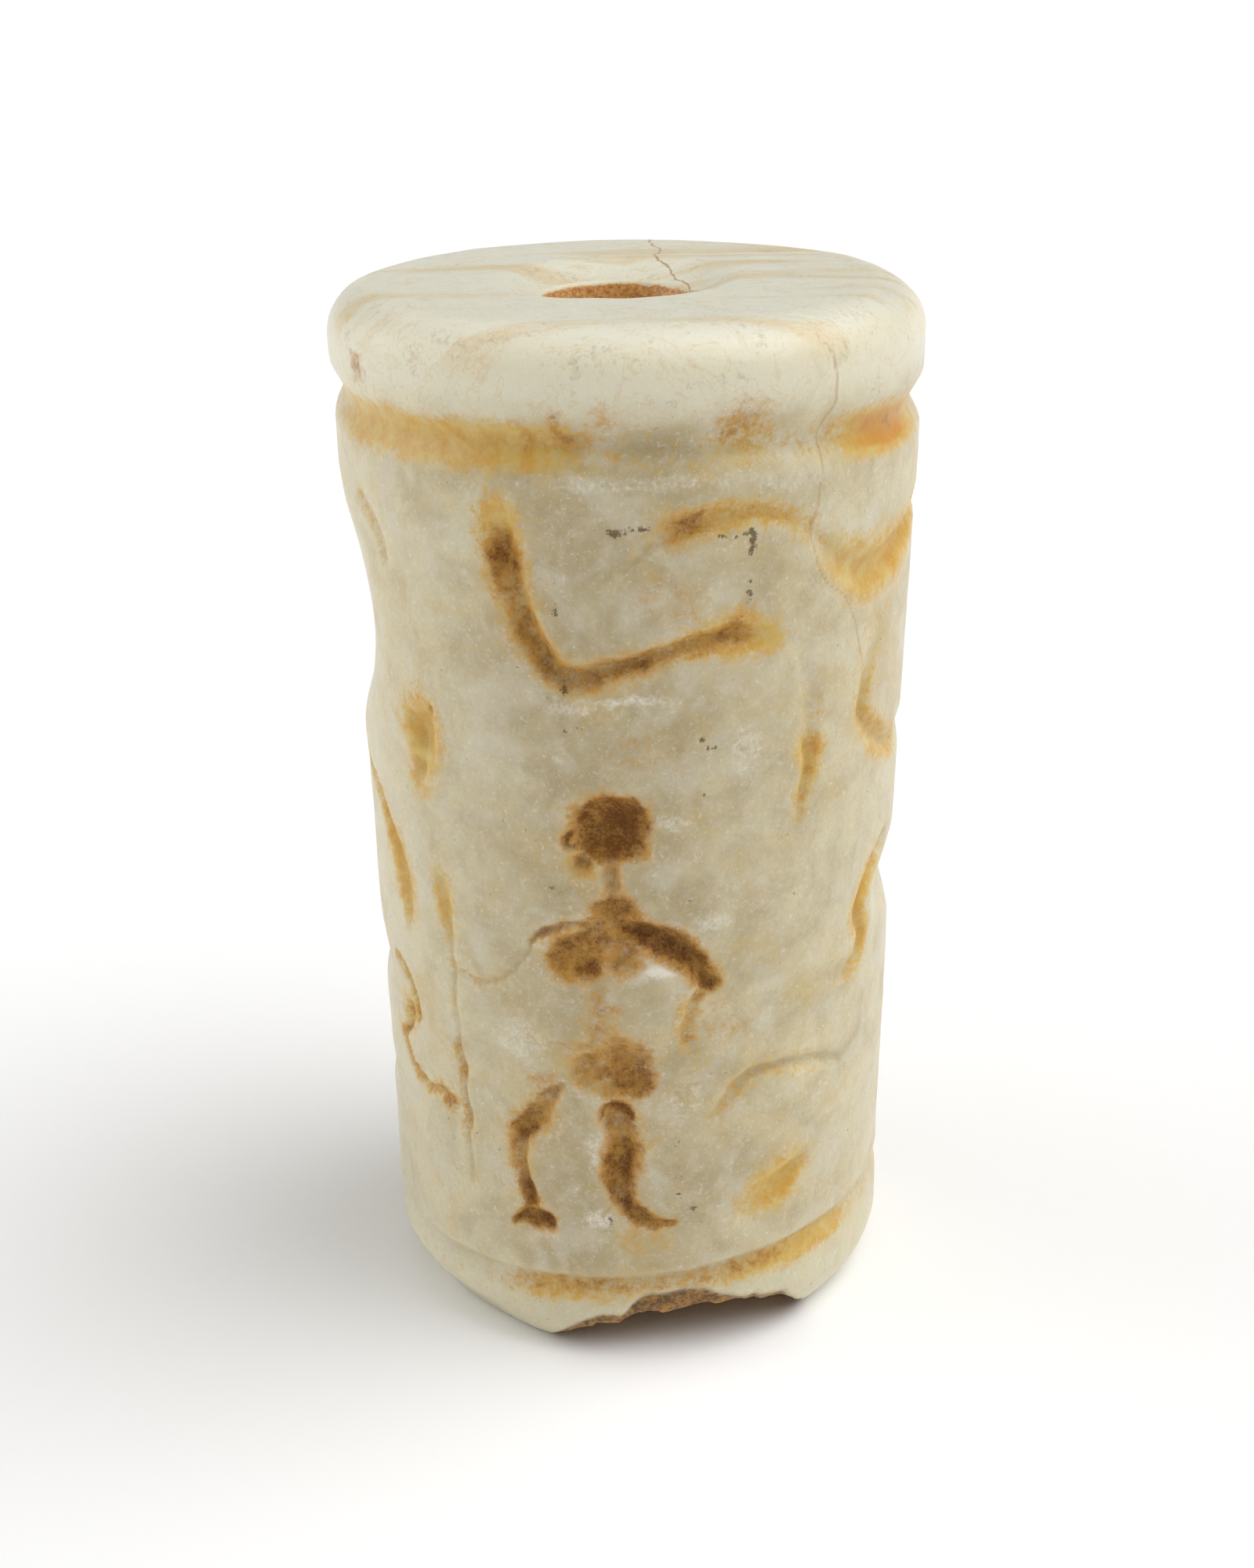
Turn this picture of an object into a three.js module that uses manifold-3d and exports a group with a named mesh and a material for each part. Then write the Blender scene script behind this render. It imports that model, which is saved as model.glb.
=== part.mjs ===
// A carved cylinder seal of pale marble, standing on its foot.
// One solid: a slightly waisted drum with rounded end rims, a bore along its axis, a line cut
// round each end, a frieze cut into the wall with gouge strokes and drilled hollows, and a chip
// lost from the front of the foot. +Z is up, the origin is at the centre of the underside, and
// the frieze's walking man faces -Y.

import * as THREE from "three";
import { mergeVertices } from "three/addons/utils/BufferGeometryUtils.js";
import Module from "manifold-3d";

// Driving sizes, in millimetres
const sealHeight = 45.4;
const rimRadius = 12.42; // the top rim at its fullest
const shoulderRadius = 12.3; // the wall just under the upper line
const footRadius = 11.42; // the wall at the foot
const waist = 0.16; // how far the wall draws in halfway up
const topEdgeDepth = 1.9; // the worn rounding of the top edge, down the rim
const topEdgeInset = 2.3; // and in across the top face
const topEdgeFuller = 0.5; // how much less that is at the least worn side
const leastWornAngle = -130;
const footEdgeDepth = 2.4;
const footEdgeInset = 1.7;

const boreRadius = 2.98; // at the middle, where the two drillings meet
const boreOffset = -0.4; // the bore runs a little to the left of the middle
const boreFlare = 0.3; // how much wider the bore is at each end
const topMouthRadius = 4.9; // the dished mouth worn round the bore
const topMouthDepth = 0.6;
const footMouthRadius = 4.2;
const footMouthDepth = 0.8;

const upperLineDrop = 4.2; // from the top face down to the middle of the upper line
const upperLineWidth = 2.6;
const upperLineDepth = 0.55;
const upperLineTilt = -0.4; // neither line is level: how much higher each is at +X than at the front
const footLineHeight = 4.1; // from the underside up to the middle of the lower line
const footLineWidth = 1.7;
const footLineDepth = 0.38;
const footLineTilt = 0.7;

// The chip is a rough flake lost from the front of the foot
const chipAngle = 9; // degrees round from the front
const chipLength = 15.4;
const chipRise = 3.15; // up the wall from the underside
const chipReach = 6.3; // in from the wall, along the underside
const chipBreak = 0.85; // how far it drops steeply before it runs inward
const chipBreakLean = 0.1; // how much further it drops on the left, for each millimetre along
const chipLean = 0.03; // how much higher it rises on the left, for each millimetre along
const chipRoughness = 0.1;

// How finely the solid is faceted
const sidesRound = 64;
const wallRows = 16;
const edgeRows = 3;
const lineRows = 4;
const strokeSides = 6;
const strokeStep = 2.2; // millimetres along a stroke between its rings
const facetError = 0.02; // facets flatter than this are merged

const upperLineHeight = sealHeight - upperLineDrop;
const fieldHeight = upperLineHeight - footLineHeight;
const drawnHeight = 37.1; // the field height that the widths and depths of the cuts are drawn for
const cutScale = fieldHeight / drawnHeight;
const cutClearance = 0.5; // how far each gouge's cutter stands clear of the wall

const { lerp, smoothstep, degToRad, radToDeg } = THREE.MathUtils;

// The frieze is drawn in degrees round from the front (+ towards +X) and in shares of the
// field's height, 0 at the lower line and 1 at the upper one. Widths and depths are millimetres
// on a field of the drawn height, and follow the field when that changes.

// Broad shallow hollows, worn or left by the cutting of the large animals
const hollows = [
  { angle: -97, height: 0.76, halfAngle: 42, halfHeight: 6.3, depth: 1.1 },
  { angle: -92, height: 0.72, halfAngle: 26, halfHeight: 3.4, depth: 0.25 },
  { angle: -86, height: 0.315, halfAngle: 17, halfHeight: 1.9, depth: 0.4 },
  { angle: -86, height: 0.163, halfAngle: 14, halfHeight: 1.3, depth: 0.3 },
  { angle: 84, height: 0.415, halfAngle: 24, halfHeight: 2.7, depth: 0.9 },
  { angle: 80, height: 0.6, halfAngle: 14, halfHeight: 1.2, depth: 0.2 },
  { angle: 34, height: 0.31, halfAngle: 26, halfHeight: 1.9, depth: 0.22 },
  { angle: 10, height: 0.86, halfAngle: 26, halfHeight: 2.2, depth: 0.16 },
  { angle: 160, height: 0.33, halfAngle: 24, halfHeight: 2.6, depth: 0.75 },
  { angle: -146, height: 0.8, halfAngle: 20, halfHeight: 2.4, depth: 0.35 },
];

// The walking man: drilled head, shoulders and hips, gouged limbs, and the staff he holds
const man = {
  drilled: [
    { name: "skull", angle: -5.0, height: 0.583, across: 3.0, tall: 2.7, depth: 0.8 },
    { name: "beard", angle: -11.5, height: 0.534, across: 1.7, tall: 1.6, depth: 0.5 },
    { name: "chest", angle: -8.2, height: 0.437, across: 4.0, tall: 2.7, depth: 0.55 },
    { name: "hips", angle: -5.5, height: 0.289, across: 3.9, tall: 2.9, depth: 0.6 },
  ],
  gouged: [
    { name: "nose", width: 0.9, depth: 0.4, path: [[-8, 0.572], [-15.5, 0.556]] },
    { name: "neck", width: 1.0, depth: 0.4, path: [[-4.6, 0.55], [-4.4, 0.485]] },
    { name: "shoulders", width: 1.5, depth: 0.6, path: [[-13, 0.462], [-5, 0.486], [3, 0.458]] },
    { name: "near_arm", width: 1.4, depth: 0.65, path: [[-3, 0.474], [5, 0.455], [11, 0.43], [17.5, 0.39]] },
    { name: "near_forearm", width: 0.9, depth: 0.3, path: [[16, 0.405], [12.5, 0.36], [11, 0.295]] },
    { name: "far_arm", width: 0.8, depth: 0.35, path: [[-10, 0.474], [-18, 0.456], [-25, 0.425]] },
    { name: "far_forearm", width: 0.8, depth: 0.25, path: [[-24, 0.432], [-32, 0.385], [-41, 0.362]] },
    { name: "belly", width: 1.9, depth: 0.35, path: [[-8, 0.41], [-7, 0.32]] },
    { name: "near_leg", width: 1.5, depth: 0.6, path: [[-6.5, 0.246], [-2.8, 0.205], [-3.6, 0.135], [-2.5, 0.085]] },
    { name: "near_foot", width: 1.2, depth: 0.5, path: [[-3.5, 0.115], [0.5, 0.076], [6.5, 0.062]] },
    { name: "far_thigh", width: 1.3, depth: 0.5, path: [[-17, 0.25], [-22, 0.212], [-27.5, 0.18]] },
    { name: "far_shin", width: 1.15, depth: 0.5, path: [[-27, 0.195], [-25.5, 0.135], [-22.5, 0.075]] },
    { name: "far_foot", width: 1.1, depth: 0.45, path: [[-21, 0.077], [-30, 0.064]] },
    { name: "staff", width: 0.8, depth: 0.35, path: [[-44.5, 0.48], [-42, 0.38], [-41, 0.24], [-38.5, 0.09]] },
  ],
};

// The long wavy bodies and legs of the animals above and beside the man
const beasts = {
  drilled: [
    { name: "left_eye", angle: -46, height: 0.655, across: 1.9, tall: 4.4, depth: 0.5 },
    { name: "left_knee", angle: -60, height: 0.265, across: 1.2, tall: 1.4, depth: 0.4 },
  ],
  gouged: [
    {
      name: "serpent",
      width: 1.7,
      depth: 0.6,
      path: [[-24, 0.925], [-23, 0.855], [-17.5, 0.786], [-9, 0.752], [6, 0.772], [17, 0.794], [30, 0.789]],
    },
    {
      name: "horn",
      width: 1.4,
      depth: 0.5,
      path: [[2, 0.884], [9, 0.916], [20, 0.927], [34, 0.906], [45, 0.854], [54, 0.83], [70, 0.846], [92, 0.876], [118, 0.852]],
    },
    { name: "foreleg", width: 1.3, depth: 0.35, path: [[36, 0.745], [37.5, 0.68], [36, 0.622], [33.5, 0.57]] },
    { name: "side_leg", width: 1.4, depth: 0.4, path: [[55, 0.73], [54.5, 0.665], [61, 0.616], [72, 0.607]] },
    {
      name: "flank_line",
      width: 1.0,
      depth: 0.4,
      path: [[70, 0.48], [59.5, 0.455], [54, 0.41], [57.5, 0.375], [52, 0.34], [38, 0.35]],
    },
    { name: "belly_line", width: 1.1, depth: 0.35, path: [[50, 0.236], [40, 0.252], [25, 0.26], [15.5, 0.222]] },
    { name: "hoof", width: 1.4, depth: 0.4, path: [[39, 0.126], [31, 0.104], [24, 0.09]] },
    { name: "left_back", width: 1.0, depth: 0.4, path: [[-74, 0.556], [-63, 0.525], [-58.5, 0.465], [-56.5, 0.4]] },
    { name: "left_thigh", width: 0.8, depth: 0.35, path: [[-66, 0.35], [-58, 0.32], [-57, 0.275]] },
    { name: "left_shin", width: 0.8, depth: 0.35, path: [[-62, 0.262], [-64, 0.235], [-58, 0.203], [-47.5, 0.2]] },
    { name: "left_brow", width: 0.8, depth: 0.25, path: [[-62, 0.905], [-56, 0.885], [-55, 0.85]] },
  ],
};

// The hidden side, cut more plainly: a standing goat with swept horns, a bird and a second staff
const hidden = {
  drilled: [
    { name: "goat_head", angle: 128, height: 0.5, across: 2.1, tall: 1.9, depth: 0.5 },
    { name: "bird", angle: -150, height: 0.52, across: 2.4, tall: 3.2, depth: 0.45 },
    { name: "disc", angle: 172, height: 0.83, across: 2.8, tall: 2.8, depth: 0.45 },
  ],
  gouged: [
    { name: "goat_neck", width: 1.5, depth: 0.5, path: [[129, 0.49], [135, 0.43], [143, 0.36]] },
    { name: "goat_horn", width: 1.0, depth: 0.4, path: [[128, 0.53], [138, 0.62], [152, 0.66], [166, 0.61]] },
    { name: "goat_foreleg", width: 1.1, depth: 0.4, path: [[143, 0.29], [140, 0.19], [141, 0.09]] },
    { name: "goat_midleg", width: 1.1, depth: 0.4, path: [[150, 0.27], [152, 0.18], [149, 0.09]] },
    { name: "goat_hindleg", width: 1.2, depth: 0.4, path: [[172, 0.28], [177, 0.18], [173, 0.09]] },
    { name: "goat_rearleg", width: 1.1, depth: 0.4, path: [[180, 0.3], [187, 0.2], [184, 0.09]] },
    { name: "goat_tail", width: 0.8, depth: 0.35, path: [[183, 0.36], [189, 0.4]] },
    { name: "bird_wing", width: 1.0, depth: 0.35, path: [[-152, 0.5], [-143, 0.48], [-134, 0.5]] },
    { name: "bird_leg", width: 0.8, depth: 0.3, path: [[-150, 0.48], [-149, 0.4]] },
    { name: "second_staff", width: 0.9, depth: 0.35, path: [[-120, 0.52], [-118, 0.3], [-119, 0.08]] },
    { name: "beast_back", width: 1.4, depth: 0.4, path: [[-150, 0.84], [-128, 0.79], [-108, 0.8]] },
    { name: "beast_leg", width: 1.1, depth: 0.4, path: [[-84, 0.62], [-88, 0.52], [-84, 0.43]] },
  ],
};

const fieldToZ = (share) => footLineHeight + share * fieldHeight;

// A smooth bump, 1 at the centre and 0 from distance 1 on
const bump = (distance) => 1 - smoothstep(Math.abs(distance), 0, 1);

// The same with a flatter floor
const plateau = (distance) => 1 - smoothstep(distance, 0.25, 1);

// The plain wall's radius at height z, without lines or carving
function wallRadius(z) {
  const share = THREE.MathUtils.clamp((z - footLineHeight) / fieldHeight, 0, 1);
  const drum = lerp(footRadius, shoulderRadius, share) - waist * Math.sin(Math.PI * share);
  const aboveLine = smoothstep(z, upperLineHeight - upperLineWidth / 4, upperLineHeight + upperLineWidth / 2);
  return lerp(drum, rimRadius, aboveLine);
}

// How far a ring drawn at height z is raised at an angle round, so that the lines run aslant
function lineRise(angle, z) {
  const share = (z - footLineHeight) / fieldHeight;
  return lerp(footLineTilt, upperLineTilt, share) * Math.sin(degToRad(angle));
}

// The two lines cut round the ends
function lineDepth(z) {
  const upper = upperLineDepth * bump((z - upperLineHeight) / (upperLineWidth / 2));
  const lower = footLineDepth * bump((z - footLineHeight) / (footLineWidth / 2));
  return upper + lower;
}

function turnBetween(a, b) {
  return THREE.MathUtils.euclideanModulo(a - b + 180, 360) - 180;
}

function hollowDepth(angle, z) {
  let depth = 0;
  for (const h of hollows) {
    const round = turnBetween(angle, h.angle) / h.halfAngle;
    const up = (z - fieldToZ(h.height)) / (h.halfHeight * cutScale);
    depth += h.depth * cutScale * plateau(Math.hypot(round, up));
  }
  return depth;
}

// The heights of the wall's rings, closer together across the two lines
function wallHeights() {
  const across = (middle, width) =>
    Array.from({ length: lineRows + 1 }, (_, i) => middle - width / 2 + (width * i) / lineRows);
  const lower = across(footLineHeight, footLineWidth);
  const upper = across(upperLineHeight, upperLineWidth);
  const start = lower.at(-1);
  const step = (upper[0] - start) / wallRows;
  const between = Array.from({ length: wallRows - 1 }, (_, i) => start + step * (i + 1));
  return [...lower, ...between, ...upper];
}

// Each ring of the drum as {r, z} with cut, whether the lines and hollows reach it, fuller, how
// much wider it is at its least worn side, and shift, its centre's place in X. The rings run up the wall,
// over the top, down the bore and back out across the underside.
function profile() {
  const rings = wallHeights().map((z) => ({ r: wallRadius(z), z, cut: true }));
  const edge = (from, to) => Array.from({ length: edgeRows + 1 }, (_, i) => lerp(from, to, i / edgeRows));
  for (const a of edge(0, Math.PI / 2)) {
    rings.push({
      r: rimRadius - topEdgeInset * (1 - Math.cos(a)),
      z: sealHeight - topEdgeDepth * (1 - Math.sin(a)),
      fuller: topEdgeFuller * (1 - Math.cos(a)),
    });
  }
  const endRadius = boreRadius + boreFlare;
  const shift = boreOffset;
  const mouth = (radius, depth, faceZ, inward) =>
    [0, 0.35, 0.7, 1].map((t) => ({
      r: lerp(radius, endRadius, t),
      z: faceZ + inward * depth * smoothstep(t, 0, 1.15),
      shift,
    }));
  rings.push(...mouth(topMouthRadius, topMouthDepth, sealHeight, -1));
  rings.push({ r: boreRadius, z: sealHeight / 2, shift });
  rings.push(...mouth(footMouthRadius, footMouthDepth, 0, 1).reverse());
  for (const a of edge(Math.PI / 2, 0)) {
    rings.push({
      r: footRadius - footEdgeInset * (1 - Math.cos(a)),
      z: footEdgeDepth * (1 - Math.sin(a)),
    });
  }
  return rings;
}

// Sweeps the closed profile round the axis as one closed surface
function drumGeometry() {
  const rings = profile();
  const positions = [];
  const index = [];
  rings.forEach(({ r, z, cut = false, fuller = 0, shift = 0 }) => {
    for (let side = 0; side < sidesRound; side++) {
      const angle = (360 * side) / sidesRound;
      const height = cut ? z + lineRise(angle, z) : z;
      const plain = r + (fuller * (1 + Math.cos(degToRad(angle - leastWornAngle)))) / 2;
      const radius = cut ? plain - lineDepth(z) - hollowDepth(angle, height) : plain;
      const point = onDrum(angle, height, radius);
      positions.push(point.x + shift, point.y, point.z);
    }
  });
  rings.forEach((_, row) => {
    const next = (row + 1) % rings.length;
    for (let side = 0; side < sidesRound; side++) {
      const beside = (side + 1) % sidesRound;
      const [a, b] = [row * sidesRound + side, row * sidesRound + beside];
      const [c, d] = [next * sidesRound + side, next * sidesRound + beside];
      index.push(a, b, d, a, d, c);
    }
  });
  return new THREE.BufferGeometry()
    .setAttribute("position", new THREE.Float32BufferAttribute(positions, 3))
    .setIndex(index);
}

// A point at an angle round from the front, a height and a distance from the axis
function onDrum(angle, z, radius) {
  const a = degToRad(angle);
  return new THREE.Vector3(radius * Math.sin(a), -radius * Math.cos(a), z);
}

// The carved wall's surface at a place in the field, as a frame: across, up and out
function fieldFrame(angle, share) {
  const z = fieldToZ(share);
  const a = degToRad(angle);
  return {
    place: onDrum(angle, z, wallRadius(z) - hollowDepth(angle, z)),
    across: new THREE.Vector3(Math.cos(a), Math.sin(a), 0),
    up: new THREE.Vector3(0, 0, 1),
    out: new THREE.Vector3(Math.sin(a), -Math.cos(a), 0),
  };
}

// A drilled hollow's cutter: an egg half sunk in the wall
function drillCutter({ angle, height, across, tall, depth }) {
  const frame = fieldFrame(angle, height);
  const sides = tall * across > 5 ? 12 : 10;
  return new THREE.SphereGeometry(cutScale, sides, 7)
    .scale(across / 2, tall / 2, depth)
    .applyMatrix4(new THREE.Matrix4().makeBasis(frame.across, frame.up, frame.out))
    .translate(...frame.place.toArray());
}

// The lengths along a stroke at which its rings stand: two close to each blunt end
function ringPlaces(length, width) {
  const ends = [0.1 * width, 0.45 * width];
  const steps = Math.max(1, Math.round((length - 2 * ends[1]) / strokeStep));
  const between = Array.from({ length: steps - 1 }, (_, i) =>
    lerp(ends[1], length - ends[1], (i + 1) / steps),
  );
  return [...ends, ...between, length - ends[1], length - ends[0]];
}

// A gouge stroke's cutter: a flattened round bar along its path, rounded off at both ends
function gougeCutter(stroke) {
  const [width, depth] = [stroke.width * cutScale, stroke.depth * cutScale];
  const flatPath = stroke.path.map(([angle, share]) => {
    const z = fieldToZ(share);
    return new THREE.Vector3(degToRad(angle) * wallRadius(z), z, 0);
  });
  const drawn = new THREE.CatmullRomCurve3(flatPath, false, "centripetal");
  const length = drawn.getLength();
  const frameAt = (u) => {
    const { x, y } = drawn.getPointAt(u);
    return fieldFrame(radToDeg(x / wallRadius(y)), (y - footLineHeight) / fieldHeight);
  };
  const rings = [];
  for (const reached of ringPlaces(length, width)) {
    const u = reached / length;
    const frame = frameAt(u);
    const along = drawn.getTangentAt(u);
    const side = frame.across.clone().multiplyScalar(-along.y).addScaledVector(frame.up, along.x);
    const fromEnd = Math.min(reached, length - reached) / (width / 2);
    const swell = fromEnd < 1 ? Math.sqrt(1 - (1 - fromEnd) ** 2) : 1;
    for (let s = 0; s < strokeSides; s++) {
      const turn = (2 * Math.PI * (s + 0.5)) / strokeSides;
      const outward = Math.sin(turn) > 0 ? cutClearance : depth * swell;
      const point = frame.place.clone();
      point.addScaledVector(side, (width / 2) * swell * Math.cos(turn));
      rings.push(point.addScaledVector(frame.out, outward * Math.sin(turn)));
    }
  }
  return closedTube(rings, frameAt(0).place, frameAt(1).place);
}

// Rings of strokeSides points, closed to a tip at each end
function closedTube(rings, firstTip, lastTip) {
  const count = rings.length / strokeSides;
  const points = [...rings, firstTip, lastTip];
  const index = [];
  for (let s = 0; s < strokeSides; s++) {
    const t = (s + 1) % strokeSides;
    index.push(rings.length, t, s);
    for (let k = 0; k < count - 1; k++) {
      const [a, b] = [k * strokeSides + s, k * strokeSides + t];
      index.push(a, b + strokeSides, a + strokeSides, a, b, b + strokeSides);
    }
    const last = (count - 1) * strokeSides;
    index.push(rings.length + 1, last + s, last + t);
  }
  return new THREE.BufferGeometry().setFromPoints(points).setIndex(index);
}

// The flake that the chip took: its top is the broken surface, steep at the wall and then
// running in to the underside, and lower towards both ends
function chipCutter() {
  const [outside, below] = [1.6, 1.5];
  const reach = chipReach + outside;
  const flake = new THREE.BoxGeometry(chipLength, reach, 1, 16, 11, 1);
  const at = flake.getAttribute("position");
  for (let i = 0; i < at.count; i++) {
    const [x, y] = [at.getX(i), at.getY(i)];
    const inward = Math.max(0, y + reach / 2 - outside);
    const crown = chipRise * (1 - Math.abs((2 * x) / chipLength) ** 4);
    const steep = (chipBreak - chipBreakLean * x) * smoothstep(inward, 0, 0.6);
    const run = ((chipRise - chipBreak) * inward) / chipReach;
    const grain = chipRoughness * Math.sin(2.1 * x + 1.3 * y) * Math.cos(1.7 * y - 0.9 * x);
    const broken = crown - steep - run - chipLean * x + grain;
    at.setZ(i, at.getZ(i) > 0 ? Math.max(broken, -below / 2) : -below);
  }
  const middle = onDrum(chipAngle, 0, footRadius - (chipReach - outside) / 2);
  return flake
    .applyMatrix4(new THREE.Matrix4().makeRotationZ(degToRad(chipAngle)))
    .translate(...middle.toArray());
}

const wasm = await Module();
wasm.setup();

function solidOf(geometry) {
  const bare = geometry.clone();
  bare.deleteAttribute("normal");
  bare.deleteAttribute("uv");
  const merged = mergeVertices(bare, 1e-4);
  const solid = new wasm.Manifold(
    new wasm.Mesh({
      numProp: 3,
      vertProperties: new Float32Array(merged.getAttribute("position").array),
      triVerts: new Uint32Array(merged.index.array),
    }),
  );
  return solid;
}

function geometryOf(solid) {
  const mesh = solid.getMesh();
  return new THREE.BufferGeometry()
    .setAttribute("position", new THREE.Float32BufferAttribute(mesh.vertProperties, mesh.numProp))
    .setIndex(new THREE.BufferAttribute(mesh.triVerts, 1));
}

// Cuts the frieze and the chip into the drum
function carvedSeal() {
  let solid = solidOf(drumGeometry());
  for (const group of [man, beasts, hidden]) {
    for (const hole of group.drilled) solid = solid.subtract(solidOf(drillCutter(hole)));
    for (const stroke of group.gouged) solid = solid.subtract(solidOf(gougeCutter(stroke)));
  }
  return solid.subtract(solidOf(chipCutter())).simplify(facetError);
}

const marble = new THREE.MeshStandardMaterial({ color: 0xd8cfb4, roughness: 0.45, metalness: 0 });

const seal = new THREE.Mesh(geometryOf(carvedSeal()), marble);
seal.name = "seal";

export default new THREE.Group().add(seal);
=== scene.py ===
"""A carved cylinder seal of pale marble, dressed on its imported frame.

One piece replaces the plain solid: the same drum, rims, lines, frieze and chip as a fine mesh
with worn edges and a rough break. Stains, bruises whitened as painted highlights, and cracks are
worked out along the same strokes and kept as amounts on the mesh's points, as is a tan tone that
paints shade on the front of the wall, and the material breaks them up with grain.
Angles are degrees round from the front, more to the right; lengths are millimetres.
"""

import bpy
import numpy as np
from mathutils import Matrix, Vector


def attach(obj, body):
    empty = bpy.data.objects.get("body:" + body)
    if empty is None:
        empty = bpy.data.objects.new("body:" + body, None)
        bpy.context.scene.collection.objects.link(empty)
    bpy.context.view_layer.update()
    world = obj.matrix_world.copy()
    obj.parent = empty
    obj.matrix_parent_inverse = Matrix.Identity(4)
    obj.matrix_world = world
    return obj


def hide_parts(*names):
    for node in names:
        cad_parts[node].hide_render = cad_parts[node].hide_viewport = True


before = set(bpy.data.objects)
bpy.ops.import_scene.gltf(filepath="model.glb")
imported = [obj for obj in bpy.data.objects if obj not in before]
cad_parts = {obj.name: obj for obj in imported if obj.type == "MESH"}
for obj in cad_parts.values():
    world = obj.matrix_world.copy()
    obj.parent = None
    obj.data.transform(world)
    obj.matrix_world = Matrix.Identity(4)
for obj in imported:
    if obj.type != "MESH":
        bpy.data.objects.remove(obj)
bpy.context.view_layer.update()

MM = 0.001

# The drum, in millimetres, as in the solid
SEAL_HEIGHT = 45.4
RIM_RADIUS = 12.38
SHOULDER_RADIUS = 12.3
FOOT_RADIUS = 11.42
WAIST = 0.16
TOP_EDGE_DEPTH = 1.9
TOP_EDGE_INSET = 2.3
TOP_EDGE_FULLER = 0.5
LEAST_WORN_ANGLE = -130
FOOT_EDGE_DEPTH = 2.4
FOOT_EDGE_INSET = 1.7
BORE_RADIUS = 2.9
BORE_FLARE = 0.3
BORE_OFFSET = -0.4
TOP_MOUTH_RADIUS = 4.5
TOP_MOUTH_DEPTH = 0.75
FOOT_MOUTH_RADIUS = 4.2
FOOT_MOUTH_DEPTH = 0.8
UPPER_LINE = 41.2
UPPER_LINE_TILT = -0.4
UPPER_LINE_DEPTH = 0.5
UPPER_LINE_WIDTH = 2.7
FOOT_LINE = 4.1
FOOT_LINE_TILT = 0.8
FOOT_LINE_DEPTH = 0.3
FOOT_LINE_WIDTH = 1.7
CHIP_ANGLE = 9.0
CHIP_LENGTH = 15.4
CHIP_RISE = 3.5
CHIP_REACH = 6.3
CHIP_BREAK = 1.2
CHIP_BREAK_LEAN = 0.1
CHIP_LEAN = 0.03
CHIP_ROUGHNESS = 0.08

# The flaked edge over the chip: angle, and how far it stands above the break there
FLAKES = [(-24, 0.0), (-18, 0.7), (-6, 0.8), (3, 0.4), (18, 0.3), (25, 0.55), (34, 0.6), (39, 0.0)]
FLAKE_DEPTH = 0.28
FLAKE_FADE = 0.45
FLAKE_START = 0.8  # how far in round the foot's edge the flakes start, as a share of its inset

# Wear: the foot's edge at the left, and the thin skin lost from the wall, the ends and the top
LEFT_WEAR = 0.55
LEFT_WEAR_ANGLE = -52
WALL_SKIN = 0.06
END_SKIN = 0.07
TOP_FACE = SEAL_HEIGHT - 0.03

# Layers of grain: amount, size and seed
STROKE_WOBBLE_ROUND = [(0.13, 1.1, 1), (0.07, 0.42, 2)]
STROKE_WOBBLE_UP = [(0.13, 1.2, 3), (0.07, 0.45, 4)]
WALL_WEAR = [(0.05, 6.0, 5), (0.035, 2.4, 6), (0.012, 0.8, 7)]
CHIP_GRAIN = [(0.12, 1.1, 11), (0.1, 0.5, 12), (0.05, 0.25, 13)]
END_WEAR = [(0.05, 5.0, 21), (0.02, 1.3, 22)]
CRACK_WOBBLE = [(0.12, 0.7, 31), (0.05, 0.25, 32)]

# The mouths, the bore and the face between them
TOP_MOUTH_START = TOP_MOUTH_RADIUS + 0.9
FOOT_MOUTH_START = FOOT_MOUTH_RADIUS + 0.5
BORE_STEPS = (0.12, 0.25, 0.4, 0.6, 0.9, 2.0, 22.0, 36.0)  # below the mouth
BORE_FLARE_DEPTH = 0.9
FACE_INNER_RADIUS = 6
ON_BORE, ON_DRUM = 4.6, 9.5  # from these radii inward and outward an end is centred on each

# The mesh's steps: fine where the camera looks, coarser round the back
FRONT_HALF_ANGLE = 90
FRONT_STEP = 0.74
BACK_STEP = 1.8
WALL_ROWS = 190
FOOT_ROWS = 50
FOOT_ZONE_TOP = 5.5
EDGE_ROWS = 10
FACE_ROWS = 15
TOP_MOUTH_ROWS = 10
FOOT_MOUTH_ROWS = 4
FOOT_WALL_STEPS = 40
FOOT_EDGE_STEPS = 24
UNDERSIDE_STEPS = 60
CHIP_STEPS = 60
WALL_SCALE = 11.7 * np.pi / 180  # millimetres along the wall for each degree round

# A stroke's section, in half widths from its middle: where its cut, its brown dirt and its ochre
# halo start to fade and end, and where its bruised lip lies, whitened as a painted highlight
CUT_FADE, CUT_END = 0.1, 1.35
BROWN_FADE, BROWN_END = 0.6, 2.1
OCHRE_FADE, OCHRE_END = 0.8, 2.9
LIP_PLACE, LIP_HALF_WIDTH = 2.0, 0.7
LIP_AMOUNT = 0.5
# the pale patches are painted highlights
PATCH_FADE, PATCH_END = 0.3, 1.6  # the same for a patch of dust or of whitened stone
MARK_WOBBLE = 0.4  # the share of the strokes' wobble that small marks have
LINE_WOBBLE = 0.3  # the share that the upper line and the foot line have
DRILLED_FALL = 0.55  # millimetres that stand for one half width outside a drilled hollow
UNMARKED = 2.0  # the distance given where no dark mark is near
UNCRACKED = 3.0  # the distance given where no crack is near

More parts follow.
